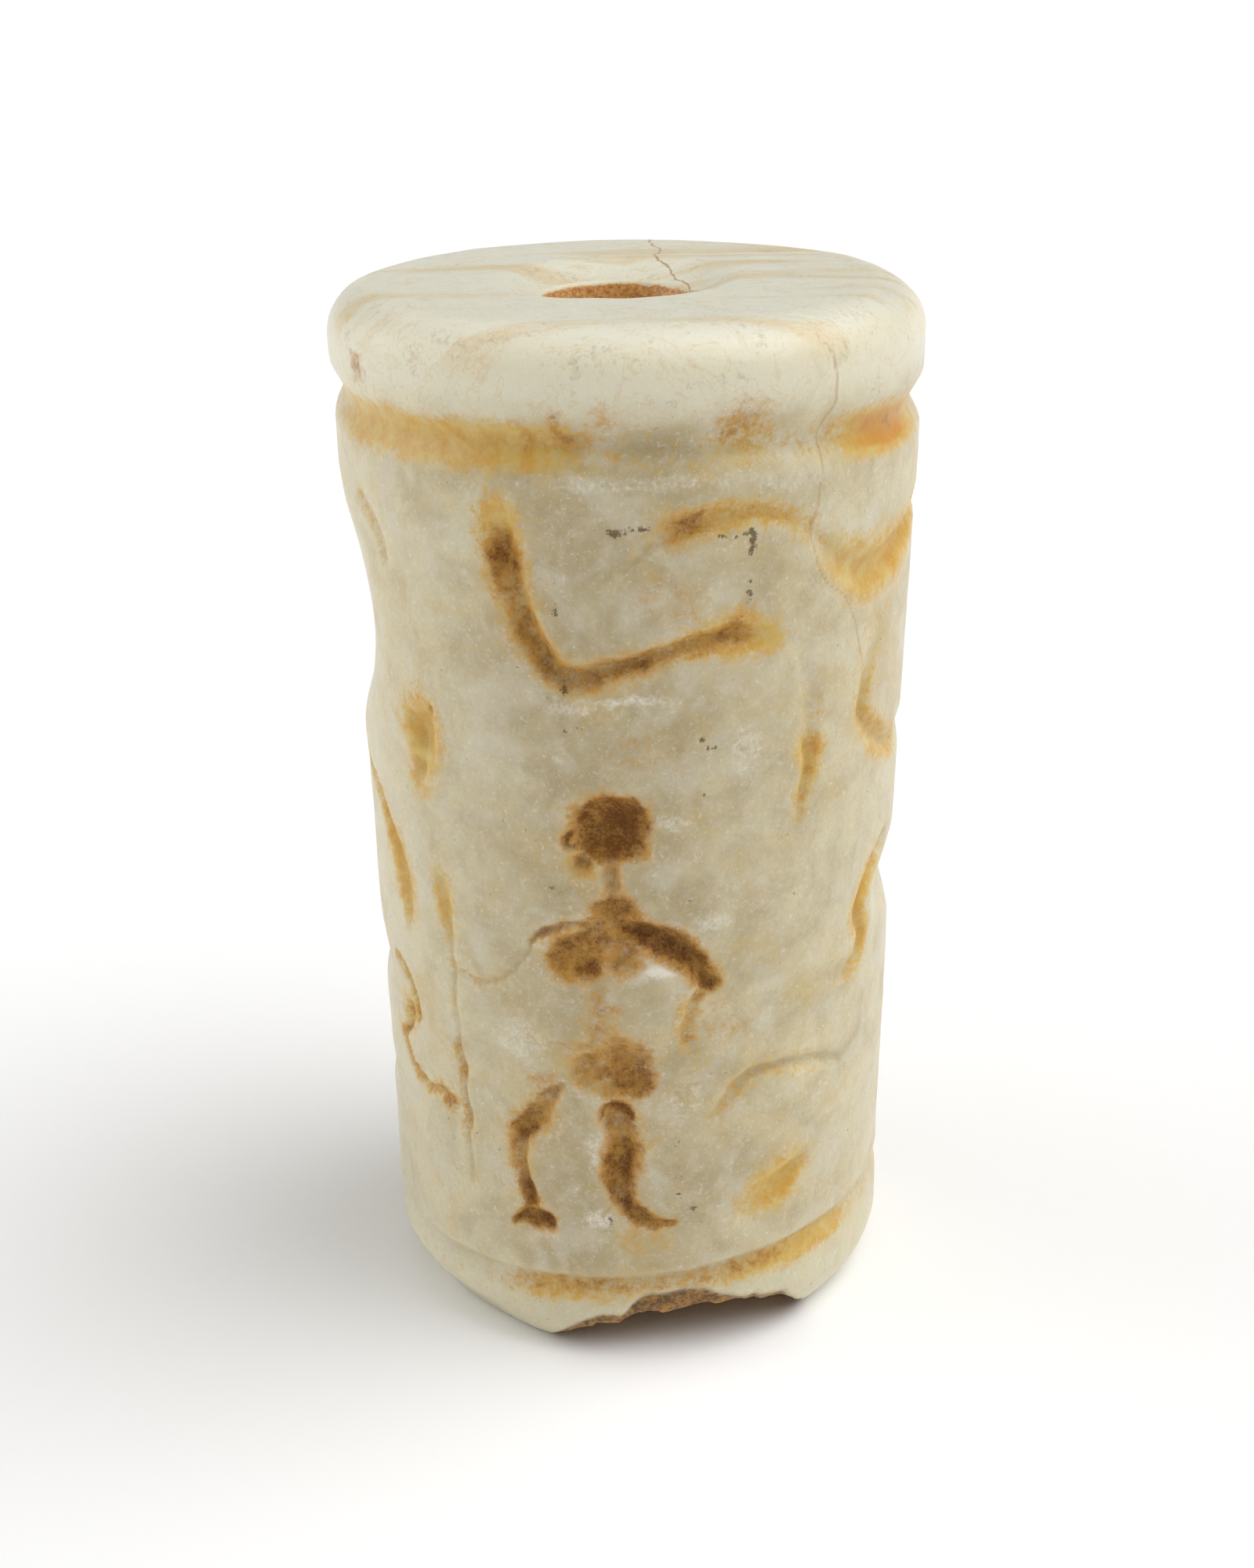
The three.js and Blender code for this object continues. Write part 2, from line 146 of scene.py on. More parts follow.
# Broad hollows in the wall: angle, height, half angle, half height, depth
HOLLOWS = [
    (-97, 32.3, 42, 6.3, 1.15),
    (-92, 30.8, 26, 3.4, 0.3),
    (-86, 15.8, 17, 1.7, 0.42),
    (-86, 10.1, 14, 1.2, 0.3),
    (84, 19.4, 24, 2.6, 0.9),
    (80, 26.3, 14, 1.1, 0.22),
    (34, 15.6, 26, 1.9, 0.2),
    (10, 36.0, 26, 2.2, 0.1),
    (160, 16.3, 24, 2.6, 0.75),
    (-146, 33.7, 20, 2.4, 0.35),
]

# Drilled hollows: angle, height, half width, half height, depth, brown, ochre
DRILLED = [
    (-4.2, 25.6, 1.35, 1.35, 0.75, 0.9, 0.5),  # the man's cap of hair
    (-9.3, 26.1, 0.55, 0.45, 0.35, 0.55, 0.5),
    (0.2, 24.8, 0.45, 0.6, 0.3, 0.55, 0.4),
    (-8.2, 25.3, 1.0, 1.05, 0.55, 0.5, 0.55),  # his face
    (-10.2, 24.05, 0.5, 0.4, 0.45, 0.45, 0.6),  # his chin
    (-4.3, 21.9, 0.85, 0.6, 0.5, 0.72, 0.4),  # the back of his shoulders
    (-12.3, 19.75, 1.15, 1.0, 0.5, 0.68, 0.5),  # his chest
    (-7.0, 20.6, 0.9, 0.6, 0.4, 0.5, 0.4),
    (-3.2, 20.0, 1.0, 0.85, 0.45, 0.52, 0.35),
    (-8.6, 14.5, 1.1, 0.85, 0.5, 0.46, 0.55),  # his kilt
    (-5.4, 15.2, 0.8, 0.7, 0.4, 0.5, 0.5),
    (-5.6, 13.8, 0.7, 0.45, 0.35, 0.42, 0.5),
    (-2.0, 15.1, 1.0, 0.85, 0.55, 0.56, 0.4),
    (-1.2, 14.1, 0.9, 0.75, 0.5, 0.66, 0.4),
    (-46.4, 28.4, 0.75, 1.2, 0.5, 0.1, 0.85),  # the large hollow at the left
    (-49.6, 28.8, 0.4, 0.5, 0.3, 0.1, 0.8),
    (-43.8, 29.4, 0.3, 0.35, 0.3, 0.35, 0.5),
    (-48.0, 26.9, 0.45, 0.7, 0.3, 0.15, 0.8),
    (-60.0, 14.5, 0.4, 0.5, 0.4, 0.3, 0.7),
    (-45.5, 11.4, 0.4, 0.3, 0.2, 0.6, 0.5),
    (128.0, 22.6, 1.05, 0.95, 0.5, 0.5, 0.6),
    (-150.0, 23.3, 1.2, 1.6, 0.45, 0.3, 0.6),
    (172.0, 34.8, 1.4, 1.4, 0.45, 0.2, 0.7),
]

# Gouge strokes: points of angle and height, then width, depth, brown and ochre along the stroke
GOUGED = [
    # the serpent over the man
    (
        [
            (-24.5, 38.3), (-24.0, 37.5), (-23.7, 36.7), (-22.6, 35.6), (-20.8, 34.4), (-18.4, 33.2),
            (-15.0, 32.3), (-11.0, 31.85), (-5.5, 32.15), (0.5, 32.5), (8.0, 33.0), (14.6, 33.3),
            (20.0, 33.4), (26.5, 33.2),
        ],
        (1.0, 1.15, 1.2, 1.1, 1.0, 0.95, 1.0, 1.1, 0.95, 0.85, 0.75, 0.85, 1.15, 0.8),
        (0.12, 0.45, 0.6, 0.5, 0.55, 0.55, 0.55, 0.55, 0.45, 0.4, 0.35, 0.4, 0.4, 0.15),
        (0.05, 0.5, 0.72, 0.45, 0.42, 0.55, 0.47, 0.45, 0.5, 0.5, 0.42, 0.48, 0.52, 0.1),
        (0.8, 0.8, 0.7, 0.6, 0.6, 0.6, 0.5, 0.4, 0.4, 0.5, 0.55, 0.8, 0.95, 0.8),
    ),
    # the wavy line above it, running on round the side
    (
        [
            (-1.0, 36.3), (3.9, 37.2), (7.4, 37.6), (11.7, 38.0), (18.0, 38.2), (25.0, 38.15),
            (31.0, 37.7), (35.5, 37.1), (38.5, 36.4), (43.5, 35.7), (51.0, 34.95), (60.0, 34.95),
            (68.0, 35.4), (80.0, 36.2), (98.0, 36.4), (118.0, 35.6),
        ],
        (0.3, 0.6, 0.85, 0.8, 0.7, 0.7, 0.6, 0.7, 0.9, 1.2, 1.5, 1.5, 1.4, 1.2, 1.1, 0.7),
        (0.06, 0.16, 0.2, 0.2, 0.18, 0.14, 0.1, 0.12, 0.15, 0.25, 0.4, 0.45, 0.45, 0.4, 0.35, 0.2),
        (0.0, 0.25, 0.5, 0.46, 0.36, 0.3, 0.2, 0.08, 0.0, 0.0, 0.05, 0.05, 0.1, 0.1, 0.1, 0.0),
        (0.15, 0.35, 0.6, 0.7, 0.72, 0.7, 0.6, 0.45, 0.45, 0.7, 0.9, 0.9, 0.95, 0.7, 0.5, 0.3),
    ),
    # the foreleg hanging from it
    (
        [(35.0, 32.2), (36.4, 30.6), (36.7, 28.9), (36.8, 28.0), (36.6, 26.9), (34.2, 25.3)],
        (1.0, 1.0, 0.95, 0.9, 0.7, 0.45),
        (0.12, 0.15, 0.2, 0.35, 0.25, 0.1),
        (0.0, 0.0, 0.05, 0.3, 0.3, 0.15),
        (0.12, 0.22, 0.35, 0.95, 0.75, 0.4),
    ),
    # a second leg nearer the edge
    (
        [
            (56.0, 33.8), (57.0, 32.2), (55.5, 31.0), (53.5, 29.8), (53.2, 28.6), (58.5, 27.4),
            (67.5, 26.4), (76.0, 26.2),
        ],
        (1.6, 1.4, 1.1, 0.8, 0.7, 1.1, 1.0, 0.8),
        (0.05, 0.08, 0.15, 0.25, 0.3, 0.3, 0.35, 0.3),
        (0.0, 0.0, 0.05, 0.15, 0.3, 0.15, 0.2, 0.1),
        (0.4, 0.32, 0.4, 0.5, 0.7, 0.75, 0.85, 0.5),
    ),
    (
        [
            (68.0, 22.0), (62.0, 21.3), (59.5, 20.9), (55.5, 19.6), (57.5, 18.2), (54.5, 17.0),
            (46.0, 17.1), (34.0, 17.3), (22.0, 16.6),
        ],
        (0.8, 0.8, 0.75, 0.85, 0.8, 0.9, 1.1, 1.4, 1.2),
        (0.3, 0.35, 0.3, 0.35, 0.3, 0.3, 0.22, 0.18, 0.05),
        (0.1, 0.15, 0.1, 0.1, 0.2, 0.1, 0.0, 0.0, 0.0),
        (0.3, 0.6, 0.85, 0.85, 0.9, 0.55, 0.2, 0.1, 0.15),
    ),
    # the long back of the beast at the lower right
    (
        [(50.0, 12.7), (41.5, 13.4), (33.0, 13.8), (25.0, 13.7), (20.0, 13.1), (16.0, 12.3)],
        (0.7, 0.7, 0.7, 0.8, 0.8, 0.5),
        (0.2, 0.3, 0.35, 0.3, 0.25, 0.1),
        (0.0, 0.0, 0.05, 0.1, 0.1, 0.15),
        (0.2, 0.35, 0.4, 0.4, 0.5, 0.35),
    ),
    (
        [(39.5, 8.9), (34.0, 8.2), (29.0, 7.7), (24.0, 7.3)],
        (0.8, 1.3, 1.4, 1.0),
        (0.15, 0.35, 0.3, 0.1),
        (0.0, 0.05, 0.2, 0.1),
        (0.5, 0.9, 0.85, 0.5),
    ),
    # the man's neck and nose
    ([(-4.7, 24.1), (-4.5, 22.4)], (0.75, 0.6, 0.9), (0.3,), (0.45, 0.38, 0.5), (0.4,)),
    ([(-14.0, 20.2), (-7.0, 21.2), (0.0, 20.8)], (0.6, 1.1, 0.9), (0.4,), (0.42, 0.55, 0.55), (0.4,)),
    (
        [(-11.2, 25.6), (-13.4, 24.95), (-12.0, 24.75)],
        (0.3, 0.4, 0.3),
        (0.35, 0.3),
        (0.62, 0.55),
        (0.4,),
    ),
    # his arms
    (
        [(-3.5, 21.3), (0.5, 21.0), (5.0, 20.6), (9.8, 19.9), (15.2, 18.5)],
        (0.9, 1.1, 1.25, 1.15, 0.9),
        (0.5, 0.55, 0.6, 0.6, 0.5),
        (0.6, 0.75, 0.85, 0.8, 0.62),
        (0.3, 0.3, 0.35, 0.4, 0.6),
    ),
    (
        [(14.6, 18.3), (11.6, 17.4), (10.6, 16.2), (12.0, 15.4)],
        (0.6, 0.6, 0.65, 0.5),
        (0.2, 0.2, 0.15, 0.1),
        (0.4, 0.24, 0.3, 0.2),
        (0.6, 0.55, 0.55, 0.4),
    ),
    (
        [(-7.5, 21.3), (-11.0, 21.25), (-14.5, 21.2), (-18.0, 20.8), (-22.3, 20.2)],
        (0.6, 0.35, 0.4, 0.45, 0.3),
        (0.3, 0.25, 0.25, 0.3, 0.2),
        (0.4, 0.3, 0.4, 0.45, 0.42),
        (0.25,),
    ),
    (
        [(-22.5, 19.9), (-25.0, 19.1), (-28.5, 18.3), (-33.0, 17.8), (-38.0, 18.0), (-41.5, 18.3)],
        (0.3, 0.35, 0.4, 0.45, 0.4, 0.4),
        (0.12, 0.1, 0.12, 0.15, 0.12, 0.12),
        (0.1, 0.0, 0.1, 0.12, 0.05, 0.1),
        (0.2, 0.25, 0.35, 0.4, 0.3, 0.4),
    ),
    # his waist and legs
    (
        [(-7.6, 18.8), (-8.0, 17.6), (-7.0, 16.4)],
        (1.1, 1.0, 1.3),
        (0.18,),
        (0.22, 0.25, 0.32),
        (0.3, 0.35, 0.4),
    ),
    ([(-11.5, 15.6), (-5.0, 16.0), (0.5, 15.7)], (0.4,), (0.15,), (0.25, 0.4, 0.5), (0.35,)),
    (
        [(-7.6, 12.4), (-6.2, 12.85), (-3.8, 12.9), (-1.6, 12.4)],
        (0.3, 0.4, 0.45, 0.35),
        (0.3,),
        (0.5, 0.7, 0.85, 0.7),
        (0.4,),
    ),
    (
        [(-4.2, 12.3), (-3.3, 11.4), (-3.2, 10.5), (-4.4, 9.6), (-3.9, 8.7), (-2.6, 8.0)],
        (1.2, 1.3, 1.4, 1.3, 0.9, 0.75),
        (0.45, 0.45, 0.55, 0.55, 0.45, 0.4),
        (0.5, 0.5, 0.78, 0.72, 0.55, 0.6),
        (0.45,),
    ),
    (
        [(-2.8, 8.1), (-0.5, 7.5), (2.5, 7.1), (7.5, 7.0)],
        (0.75, 0.85, 0.75, 0.25),
        (0.4, 0.45, 0.35, 0.1),
        (0.6, 0.65, 0.6, 0.6),
        (0.4,),
    ),
    ([(-1.0, 6.3), (2.5, 6.2)], (1.1, 1.2), (0.15,), (0.2, 0.15), (0.45, 0.4)),
    (
        [(-16.5, 13.5), (-19.1, 12.9), (-22.3, 11.9), (-26.0, 11.1)],
        (0.5, 0.85, 1.15, 1.05),
        (0.25, 0.35, 0.45, 0.45),
        (0.35, 0.42, 0.55, 0.66),
        (0.3, 0.4, 0.5, 0.5),
    ),
    (
        [(-26.8, 10.7), (-26.8, 9.6), (-26.0, 8.6), (-24.3, 7.5)],
        (0.95, 0.85, 0.75, 0.8),
        (0.4, 0.4, 0.45, 0.45),
        (0.5, 0.38, 0.55, 0.66),
        (0.5, 0.6, 0.45, 0.4),
    ),
    ([(-20.8, 6.8), (-25.0, 6.8), (-29.0, 6.5)], (0.8, 0.85, 0.35), (0.4,), (0.72, 0.75, 0.6), (0.4,)),
    # the staff he holds, dashed with dirt
    (
        [
            (-44.3, 22.1), (-43.2, 20.8), (-42.0, 19.6), (-41.7, 18.2), (-42.2, 16.4), (-41.6, 14.7),
            (-41.2, 13.3), (-40.9, 12.0), (-40.4, 10.7), (-40.3, 9.3), (-39.5, 7.8),
        ],
        (0.6, 0.65, 0.45, 0.35, 0.4, 0.4, 0.5, 0.4, 0.55, 0.4, 0.45),
        (0.15, 0.2, 0.16, 0.12, 0.12, 0.15, 0.2, 0.2, 0.2, 0.15, 0.1),
        (0.0, 0.15, 0.05, 0.0, 0.0, 0.15, 0.42, 0.2, 0.42, 0.02, 0.15),
        (0.6, 0.8, 0.45, 0.25, 0.3, 0.3, 0.5, 0.3, 0.5, 0.3, 0.35),
    ),
    # the beast behind his back, at the left
    (
        [
            (-76.0, 25.2), (-69.0, 24.6), (-64.0, 23.7), (-61.0, 22.6), (-58.5, 21.2), (-57.0, 19.9),
            (-57.5, 18.9),
        ],
        (0.5, 0.55, 0.7, 1.0, 1.05, 0.9, 0.5),
        (0.25, 0.3, 0.3, 0.3, 0.25, 0.2, 0.1),
        (0.05, 0.1, 0.1, 0.2, 0.25, 0.2, 0.1),
        (0.6, 0.65, 0.75, 0.95, 0.9, 0.8, 0.4),
    ),
    (
        [(-66.0, 16.9), (-61.5, 16.5), (-57.6, 15.7), (-56.4, 14.6)],
        (0.4, 0.45, 0.5, 0.4),
        (0.3,),
        (0.2, 0.35, 0.4, 0.3),
        (0.6,),
    ),
    (
        [(-60.5, 13.9), (-64.5, 13.0), (-62.0, 12.2), (-58.0, 11.7), (-52.5, 11.4), (-47.5, 11.5)],
        (0.5, 0.5, 0.45, 0.5, 0.5, 0.6),
        (0.3, 0.35, 0.3, 0.3, 0.25, 0.25),
        (0.25, 0.42, 0.25, 0.3, 0.3, 0.42),
        (0.65, 0.65, 0.65, 0.65, 0.65, 0.6),
    ),
    ([(-62.0, 37.6), (-57.0, 36.8), (-55.0, 35.6)], (0.7,), (0.15,), (0.05,), (0.45, 0.4, 0.2)),
    # the hidden side, cut more plainly
    ([(129, 22.3), (135, 20.0), (143, 17.4)], (1.1, 1.4, 1.0), (0.45,), (0.35, 0.5, 0.2), (0.5,)),
    (
        [(128, 23.7), (138, 27.1), (152, 28.5), (166, 26.7)],
        (0.7, 1.0, 0.9, 0.5),
        (0.35,),
        (0.3, 0.1, 0.3, 0.1),
        (0.6,),
    ),
    ([(143, 14.8), (140, 11.1), (141, 7.4)], (1.1, 0.8, 0.6), (0.35,), (0.5, 0.2, 0.45), (0.5,)),
    (
        [(150, 14.1), (152, 10.8), (149, 7.4)],
        (1.0, 0.85, 0.6),
        (0.35,),
        (0.15, 0.4, 0.2),
        (0.5, 0.4, 0.6),
    ),
    ([(172, 14.5), (177, 10.8), (173, 7.4)], (1.1, 0.9, 0.6), (0.35,), (0.45, 0.15, 0.4), (0.5,)),
    (
        [(180, 15.2), (187, 11.5), (184, 7.4)],
        (1.0, 0.8, 0.55),
        (0.35,),
        (0.15, 0.3, 0.1),
        (0.55, 0.4, 0.5),
    ),
    ([(183, 17.4), (189, 18.9)], (0.8, 0.4), (0.3,), (0.4, 0.2), (0.4,)),
    ([(-152, 22.6), (-143, 21.9), (-134, 22.6)], (1.0, 0.8, 0.5), (0.3,), (0.35, 0.1, 0.2), (0.5,)),
    ([(-150, 21.9), (-149, 18.9)], (0.75, 0.45), (0.25,), (0.4, 0.2), (0.4,)),
    (
        [(-120, 23.3), (-118, 15.2), (-119, 7.1)],
        (0.5, 0.65, 0.4),
        (0.3,),
        (0.1, 0.35, 0.05),
        (0.5, 0.35, 0.45),
    ),
    (
        [(-150, 35.2), (-128, 33.3), (-108, 33.7)],
        (0.9, 1.4, 0.8),
        (0.3,),
        (0.05, 0.25, 0.1),
        (0.5, 0.8, 0.4),
    ),
    (
        [(-84, 27.0), (-88, 23.3), (-84, 20.0)],
        (0.6, 1.0, 0.6),
        (0.35,),
        (0.1, 0.3, 0.1),
        (0.5, 0.7, 0.4),
    ),
]

# Small dark marks and pits: radius, then points of angle and height
MARKS = [
    (0.07, [(15.6, 37.5), (19.1, 37.35), (22.3, 37.5)]),
    (0.1, [(22.5, 37.4), (22.4, 36.7)]),
    (0.11, [(-3.4, 37.8), (-1.6, 37.75)]),
    (0.05, [(0.0, 37.9), (3.2, 37.9)]),
    (0.05, [(22.3, 35.7), (22.3, 35.5)]),
    (0.1, [(22.2, 35.1), (22.2, 34.8)]),
    (0.05, [(21.0, 34.3), (20.6, 34.2)]),
    (0.08, [(-14.1, 34.9), (-14.0, 34.5)]),
    (0.11, [(-13.6, 31.6), (-12.9, 31.3)]),
    (0.06, [(-13.3, 29.75), (-12.9, 29.75)]),
    (0.07, [(-10.4, 29.85), (-9.0, 29.6)]),
    (0.06, [(13.1, 29.3), (14.6, 29.0)]),
    (0.07, [(14.3, 28.9), (15.6, 28.95)]),
    (0.05, [(12.9, 27.0), (14.4, 26.7)]),
    (0.07, [(8.0, 8.5), (8.9, 8.4)]),
    (0.09, [(10.5, 7.8), (11.6, 7.65)]),
    (0.05, [(7.9, 10.9), (8.2, 11.1)]),
    (0.08, [(-6.6, 7.3), (-6.1, 7.0)]),
    (0.05, [(-16.8, 22.9), (-15.2, 22.7)]),
    (0.05, [(9.8, 22.4), (10.4, 22.3)]),
]

# Thin dust, and pale patches that are painted highlights on lips facing up, below cuts and on the
# shoulder under the upper line: angle, height, half width, half height, amount
DUST = [
    (-59, 43.3, 0.5, 0.9, 0.42),
    (-13, 41.9, 0.35, 0.6, 0.35),
    (-4, 42.1, 0.5, 0.7, 0.3),
    (21, 41.7, 1.3, 0.9, 0.4),
    (-7.5, 17.6, 0.9, 1.3, 0.34),
    (-6.5, 24.1, 1.0, 0.6, 0.3),
    (13, 17.2, 1.5, 1.8, 0.22),
    (20, 16.2, 1.4, 0.7, 0.25),
    (8, 35.0, 1.6, 1.2, 0.24),
    (2, 28.8, 1.8, 0.9, 0.2),
    (-20, 13.8, 0.8, 0.5, 0.35),
    (-13, 15.2, 1.0, 0.8, 0.3),
]
HIGHLIGHT_PATCHES = [
    (6, 19.3, 1.1, 0.4, 1.0),
    (0, 31.0, 2.3, 0.32, 0.7),
    (-12, 30.6, 1.2, 0.35, 0.6),
    (-25, 15.5, 1.4, 1.6, 0.5),
    (-8, 10.5, 1.0, 1.6, 0.6),
    (-9, 7.2, 0.8, 0.6, 0.8),
    (16, 21.2, 1.0, 0.5, 0.6),
    (8, 25.8, 0.9, 0.5, 0.6),
    (22, 28.5, 1.0, 1.6, 0.5),
    (10, 13.0, 1.6, 1.6, 0.4),
    (2, 39.6, 5.5, 0.4, 0.5),
    (30, 39.2, 2.0, 0.5, 0.5),
]

# Fine cracks on the wall and rim, as angle and height, and one on the top face, as X at each Y
WALL_CRACKS = [
    [
        (37.0, 44.6), (39.5, 43.3), (39.4, 42.1), (37.6, 40.6), (36.7, 39.1), (35.9, 37.9),
        (35.0, 37.3), (38.2, 35.2), (45.5, 33.9), (50.5, 31.8), (51.9, 30.1), (52.5, 28.8),
    ],
    [(-5.7, 8.4), (-6.9, 7.9), (-8.3, 7.4), (-6.6, 6.9)],
    [(-19.5, 15.6), (-16.0, 15.7), (-13.5, 15.4)],
    [(120.0, 39.0), (123.0, 33.0), (118.0, 28.5), (121.0, 24.0)],
    [(-170.0, 13.5), (-163.0, 11.0), (-161.0, 6.5)],
]
TOP_CRACK = [
    (-1.2, 3.3), (0.2, 2.9), (2.2, 2.4), (3.6, 1.9),
    (5.4, 1.3), (6.7, 1.5), (9.8, 1.1), (10.9, 1.1),
]
TOP_CRACK_START = 0.9
TOP_CRACK_FROM = -2.0
TOP_CRACK_REACH = 14.0
TOP_CRACK_SPAN = 4.0

# Along the upper line: angle and how far it dips there, then angle and amount of ochre and brown
UPPER_DIP = [(-95, 0), (-62, 0.55), (-36, 0.5), (-4, 0), (30, 0.15), (62, 0.3), (95, 0)]
UPPER_OCHRE = [
    (-180, 0.4), (-120, 0.25), (-80, 0.35), (-66, 0.8), (-58, 0.85), (-45, 0.9), (-25, 0.85),
    (-14, 0.75), (-6, 0.35), (8, 0.2), (15, 0.35), (22, 0.62), (28, 0.25), (40, 0.4), (48, 0.95),
    (58, 1.2), (68, 1.0), (80, 0.3), (120, 0.35), (180, 0.4),
]
UPPER_BROWN = [
    (-180, 0.1), (-66, 0.05), (-58, 0.15), (-50, 0.1), (-30, 0.25), (-14, 0.35), (-9, 0.45),
    (-4, 0.1), (17, 0.12), (22, 0.4), (27, 0.1), (48, 0.15), (58, 0.35), (66, 0.2), (80, 0.1),
    (180, 0.1),
]

# Along the foot line: angle and amount of ochre, and round the wall: angle and tan tone, darkest at
# the front as painted shade and paler at the sides
FOOT_OCHRE = [
    (-180, 0.2), (-80, 0.1), (-34, 0.2), (-22, 0.7), (-12, 0.65), (0, 0.35), (14, 0.4),
    (27, 0.7), (38, 0.9), (48, 0.8), (60, 0.3), (80, 0.2), (180, 0.2),
]
# Along the foot line: angle from this middle and amount of brown, which is dirt with painted shade
# under the ledge
FOOT_DIRT_AND_SHADE_ANGLE = 4
FOOT_DIRT_AND_SHADE = [(28, 0.36), (42, 0.05)]
WALL_TAN_AND_SHADE = [
    (-180, 0.3), (-95, 0.1), (-55, 0.12), (-32, 0.5), (-13, 1.0), (0, 0.9), (20, 0.6),
    (42, 0.3), (75, 0.35), (120, 0.45), (180, 0.3),
]

# Lobes of light: degrees round from the front, degrees up, where each starts and its strength
LIGHTS = [
    (90, 53, 0.78, 3.5),
    (262, 10, 0.76, 2.6),
    (300, 46, 0.8, 0.45),
    (20, 68, 0.75, 0.77),
    (0, 90, 0.3, 0.24),
]

# The camera: distance and aim in millimetres, angles in degrees, frame height in pixels
CAMERA_DISTANCE = 97.5
CAMERA_ELEVATION = 22.13
CAMERA_ROLL = -0.89
CAMERA_AIM = (-0.27, 0, 22.8)
CAMERA_SENSOR = 36
CAMERA_LENS = CAMERA_SENSOR * 2765 / 2000
CAMERA_NEAR = 0.005

# The floor, in metres: flat out to the cove, which rises round it
FLOOR_SIDES = 96
FLOOR_FLAT = 1.3
FLOOR_REACH = 2.3
FLOOR_RISE = 0.36


def smooth(x, low, high):
    """0 below low, 1 above high and an S-shaped rise between."""
    t = np.clip((x - low) / (high - low), 0, 1)
    return t * t * (3 - 2 * t)


def lattice(ix, iy, iz, seed):
    """A fixed pseudo-random number from -1 to 1 for each point of a whole-number grid."""
    h = (ix * 374761393 + iy * 668265263 + iz * 982451653 + seed * 144269) & 0x7FFFFFFF
    h = ((h ^ (h >> 13)) * 1274126177) & 0x7FFFFFFF
    return ((h ^ (h >> 16)) & 0xFFFF) / 32767.5 - 1


def grain(points, size, seed):
    """Smooth noise from -1 to 1 at points in millimetres, with lumps about `size` across."""
    scaled = points / size
    cell = np.floor(scaled).astype(np.int64)
    t = scaled - cell
    t = t * t * (3 - 2 * t)
    total = 0
    for corner in np.ndindex(2, 2, 2):
        weight = np.prod(np.where(corner, t, 1 - t), axis=-1)
        total = total + weight * lattice(*np.moveaxis(cell + corner, -1, 0), seed)
    return total


def layered(points, layers):
    """Grain of several sizes added up."""
    return sum(amount * grain(points, size, seed) for amount, size, seed in layers)


def turn_between(angle, centre):
    """Degrees from centre to angle, from -180 to 180."""
    return (angle - centre + 180) % 360 - 180


def read_round(angle, pairs):
    """Values given at angles round the seal, read between them."""
    return np.interp(turn_between(angle, 0), *zip(*pairs))


def band(distance, full, fade):
    """1 close to a line, fading to nothing: both lengths in the line's own measure."""
    return np.clip(full - abs(distance) / fade, 0, 1)


def plain_radius(z):
    """The wall's radius at height z without its lines or carving."""
    share = np.clip((z - FOOT_LINE) / (UPPER_LINE - FOOT_LINE), 0, 1)
    drum = FOOT_RADIUS + (SHOULDER_RADIUS - FOOT_RADIUS) * share - WAIST * np.sin(np.pi * share)
    above = smooth(z, UPPER_LINE - UPPER_LINE_WIDTH / 4, UPPER_LINE + UPPER_LINE_WIDTH / 2)
    return drum + (RIM_RADIUS - drum) * above


def stroke_path(points):
    """A smooth path through points of angle and height, as millimetres along the wall and up."""
    p = np.array(points, float)
    p[:, 0] = turn_between(p[:, 0], p[0, 0]) * WALL_SCALE
    p = np.vstack([2 * p[0] - p[1], p, 2 * p[-1] - p[-2]])
    t = np.linspace(0, 1, 7)[:-1, None]
    pieces = []
    for a, b, c, d in zip(p, p[1:], p[2:], p[3:]):
        bend = (2 * a - 5 * b + 4 * c - d) * t**2 + (3 * b - a - 3 * c + d) * t**3
        pieces.append(0.5 * (2 * b + (c - a) * t + bend))
    return np.vstack([*pieces, p[-2]])


def along_path(path, u, v):
    """Each place's distance from the path, the share of its points passed there, and its side."""
    steps = np.linalg.norm(np.diff(path, axis=0), axis=1)
    best = np.full(u.shape, 1e9)
    share = np.zeros(u.shape)
    below = np.zeros(u.shape)
    for before, (start, end, length) in enumerate(zip(path, path[1:], steps)):
        step = (end - start) / length
        along = np.clip((u - start[0]) * step[0] + (v - start[1]) * step[1], 0, length)
        du = u - start[0] - along * step[0]
        dv = v - start[1] - along * step[1]
        distance = np.hypot(du, dv)
        nearer = distance < best
        best = np.where(nearer, distance, best)
        share = np.where(nearer, (before + along / length) / len(steps), share)
        below = np.where(nearer, -dv, below)
    return best, share, below


def spread(values, share):
    """Values given along a stroke, read at shares of its length."""
    if len(values) == 1:
        return np.full(share.shape, float(values[0]))
    return np.interp(share, np.linspace(0, 1, len(values)), values)


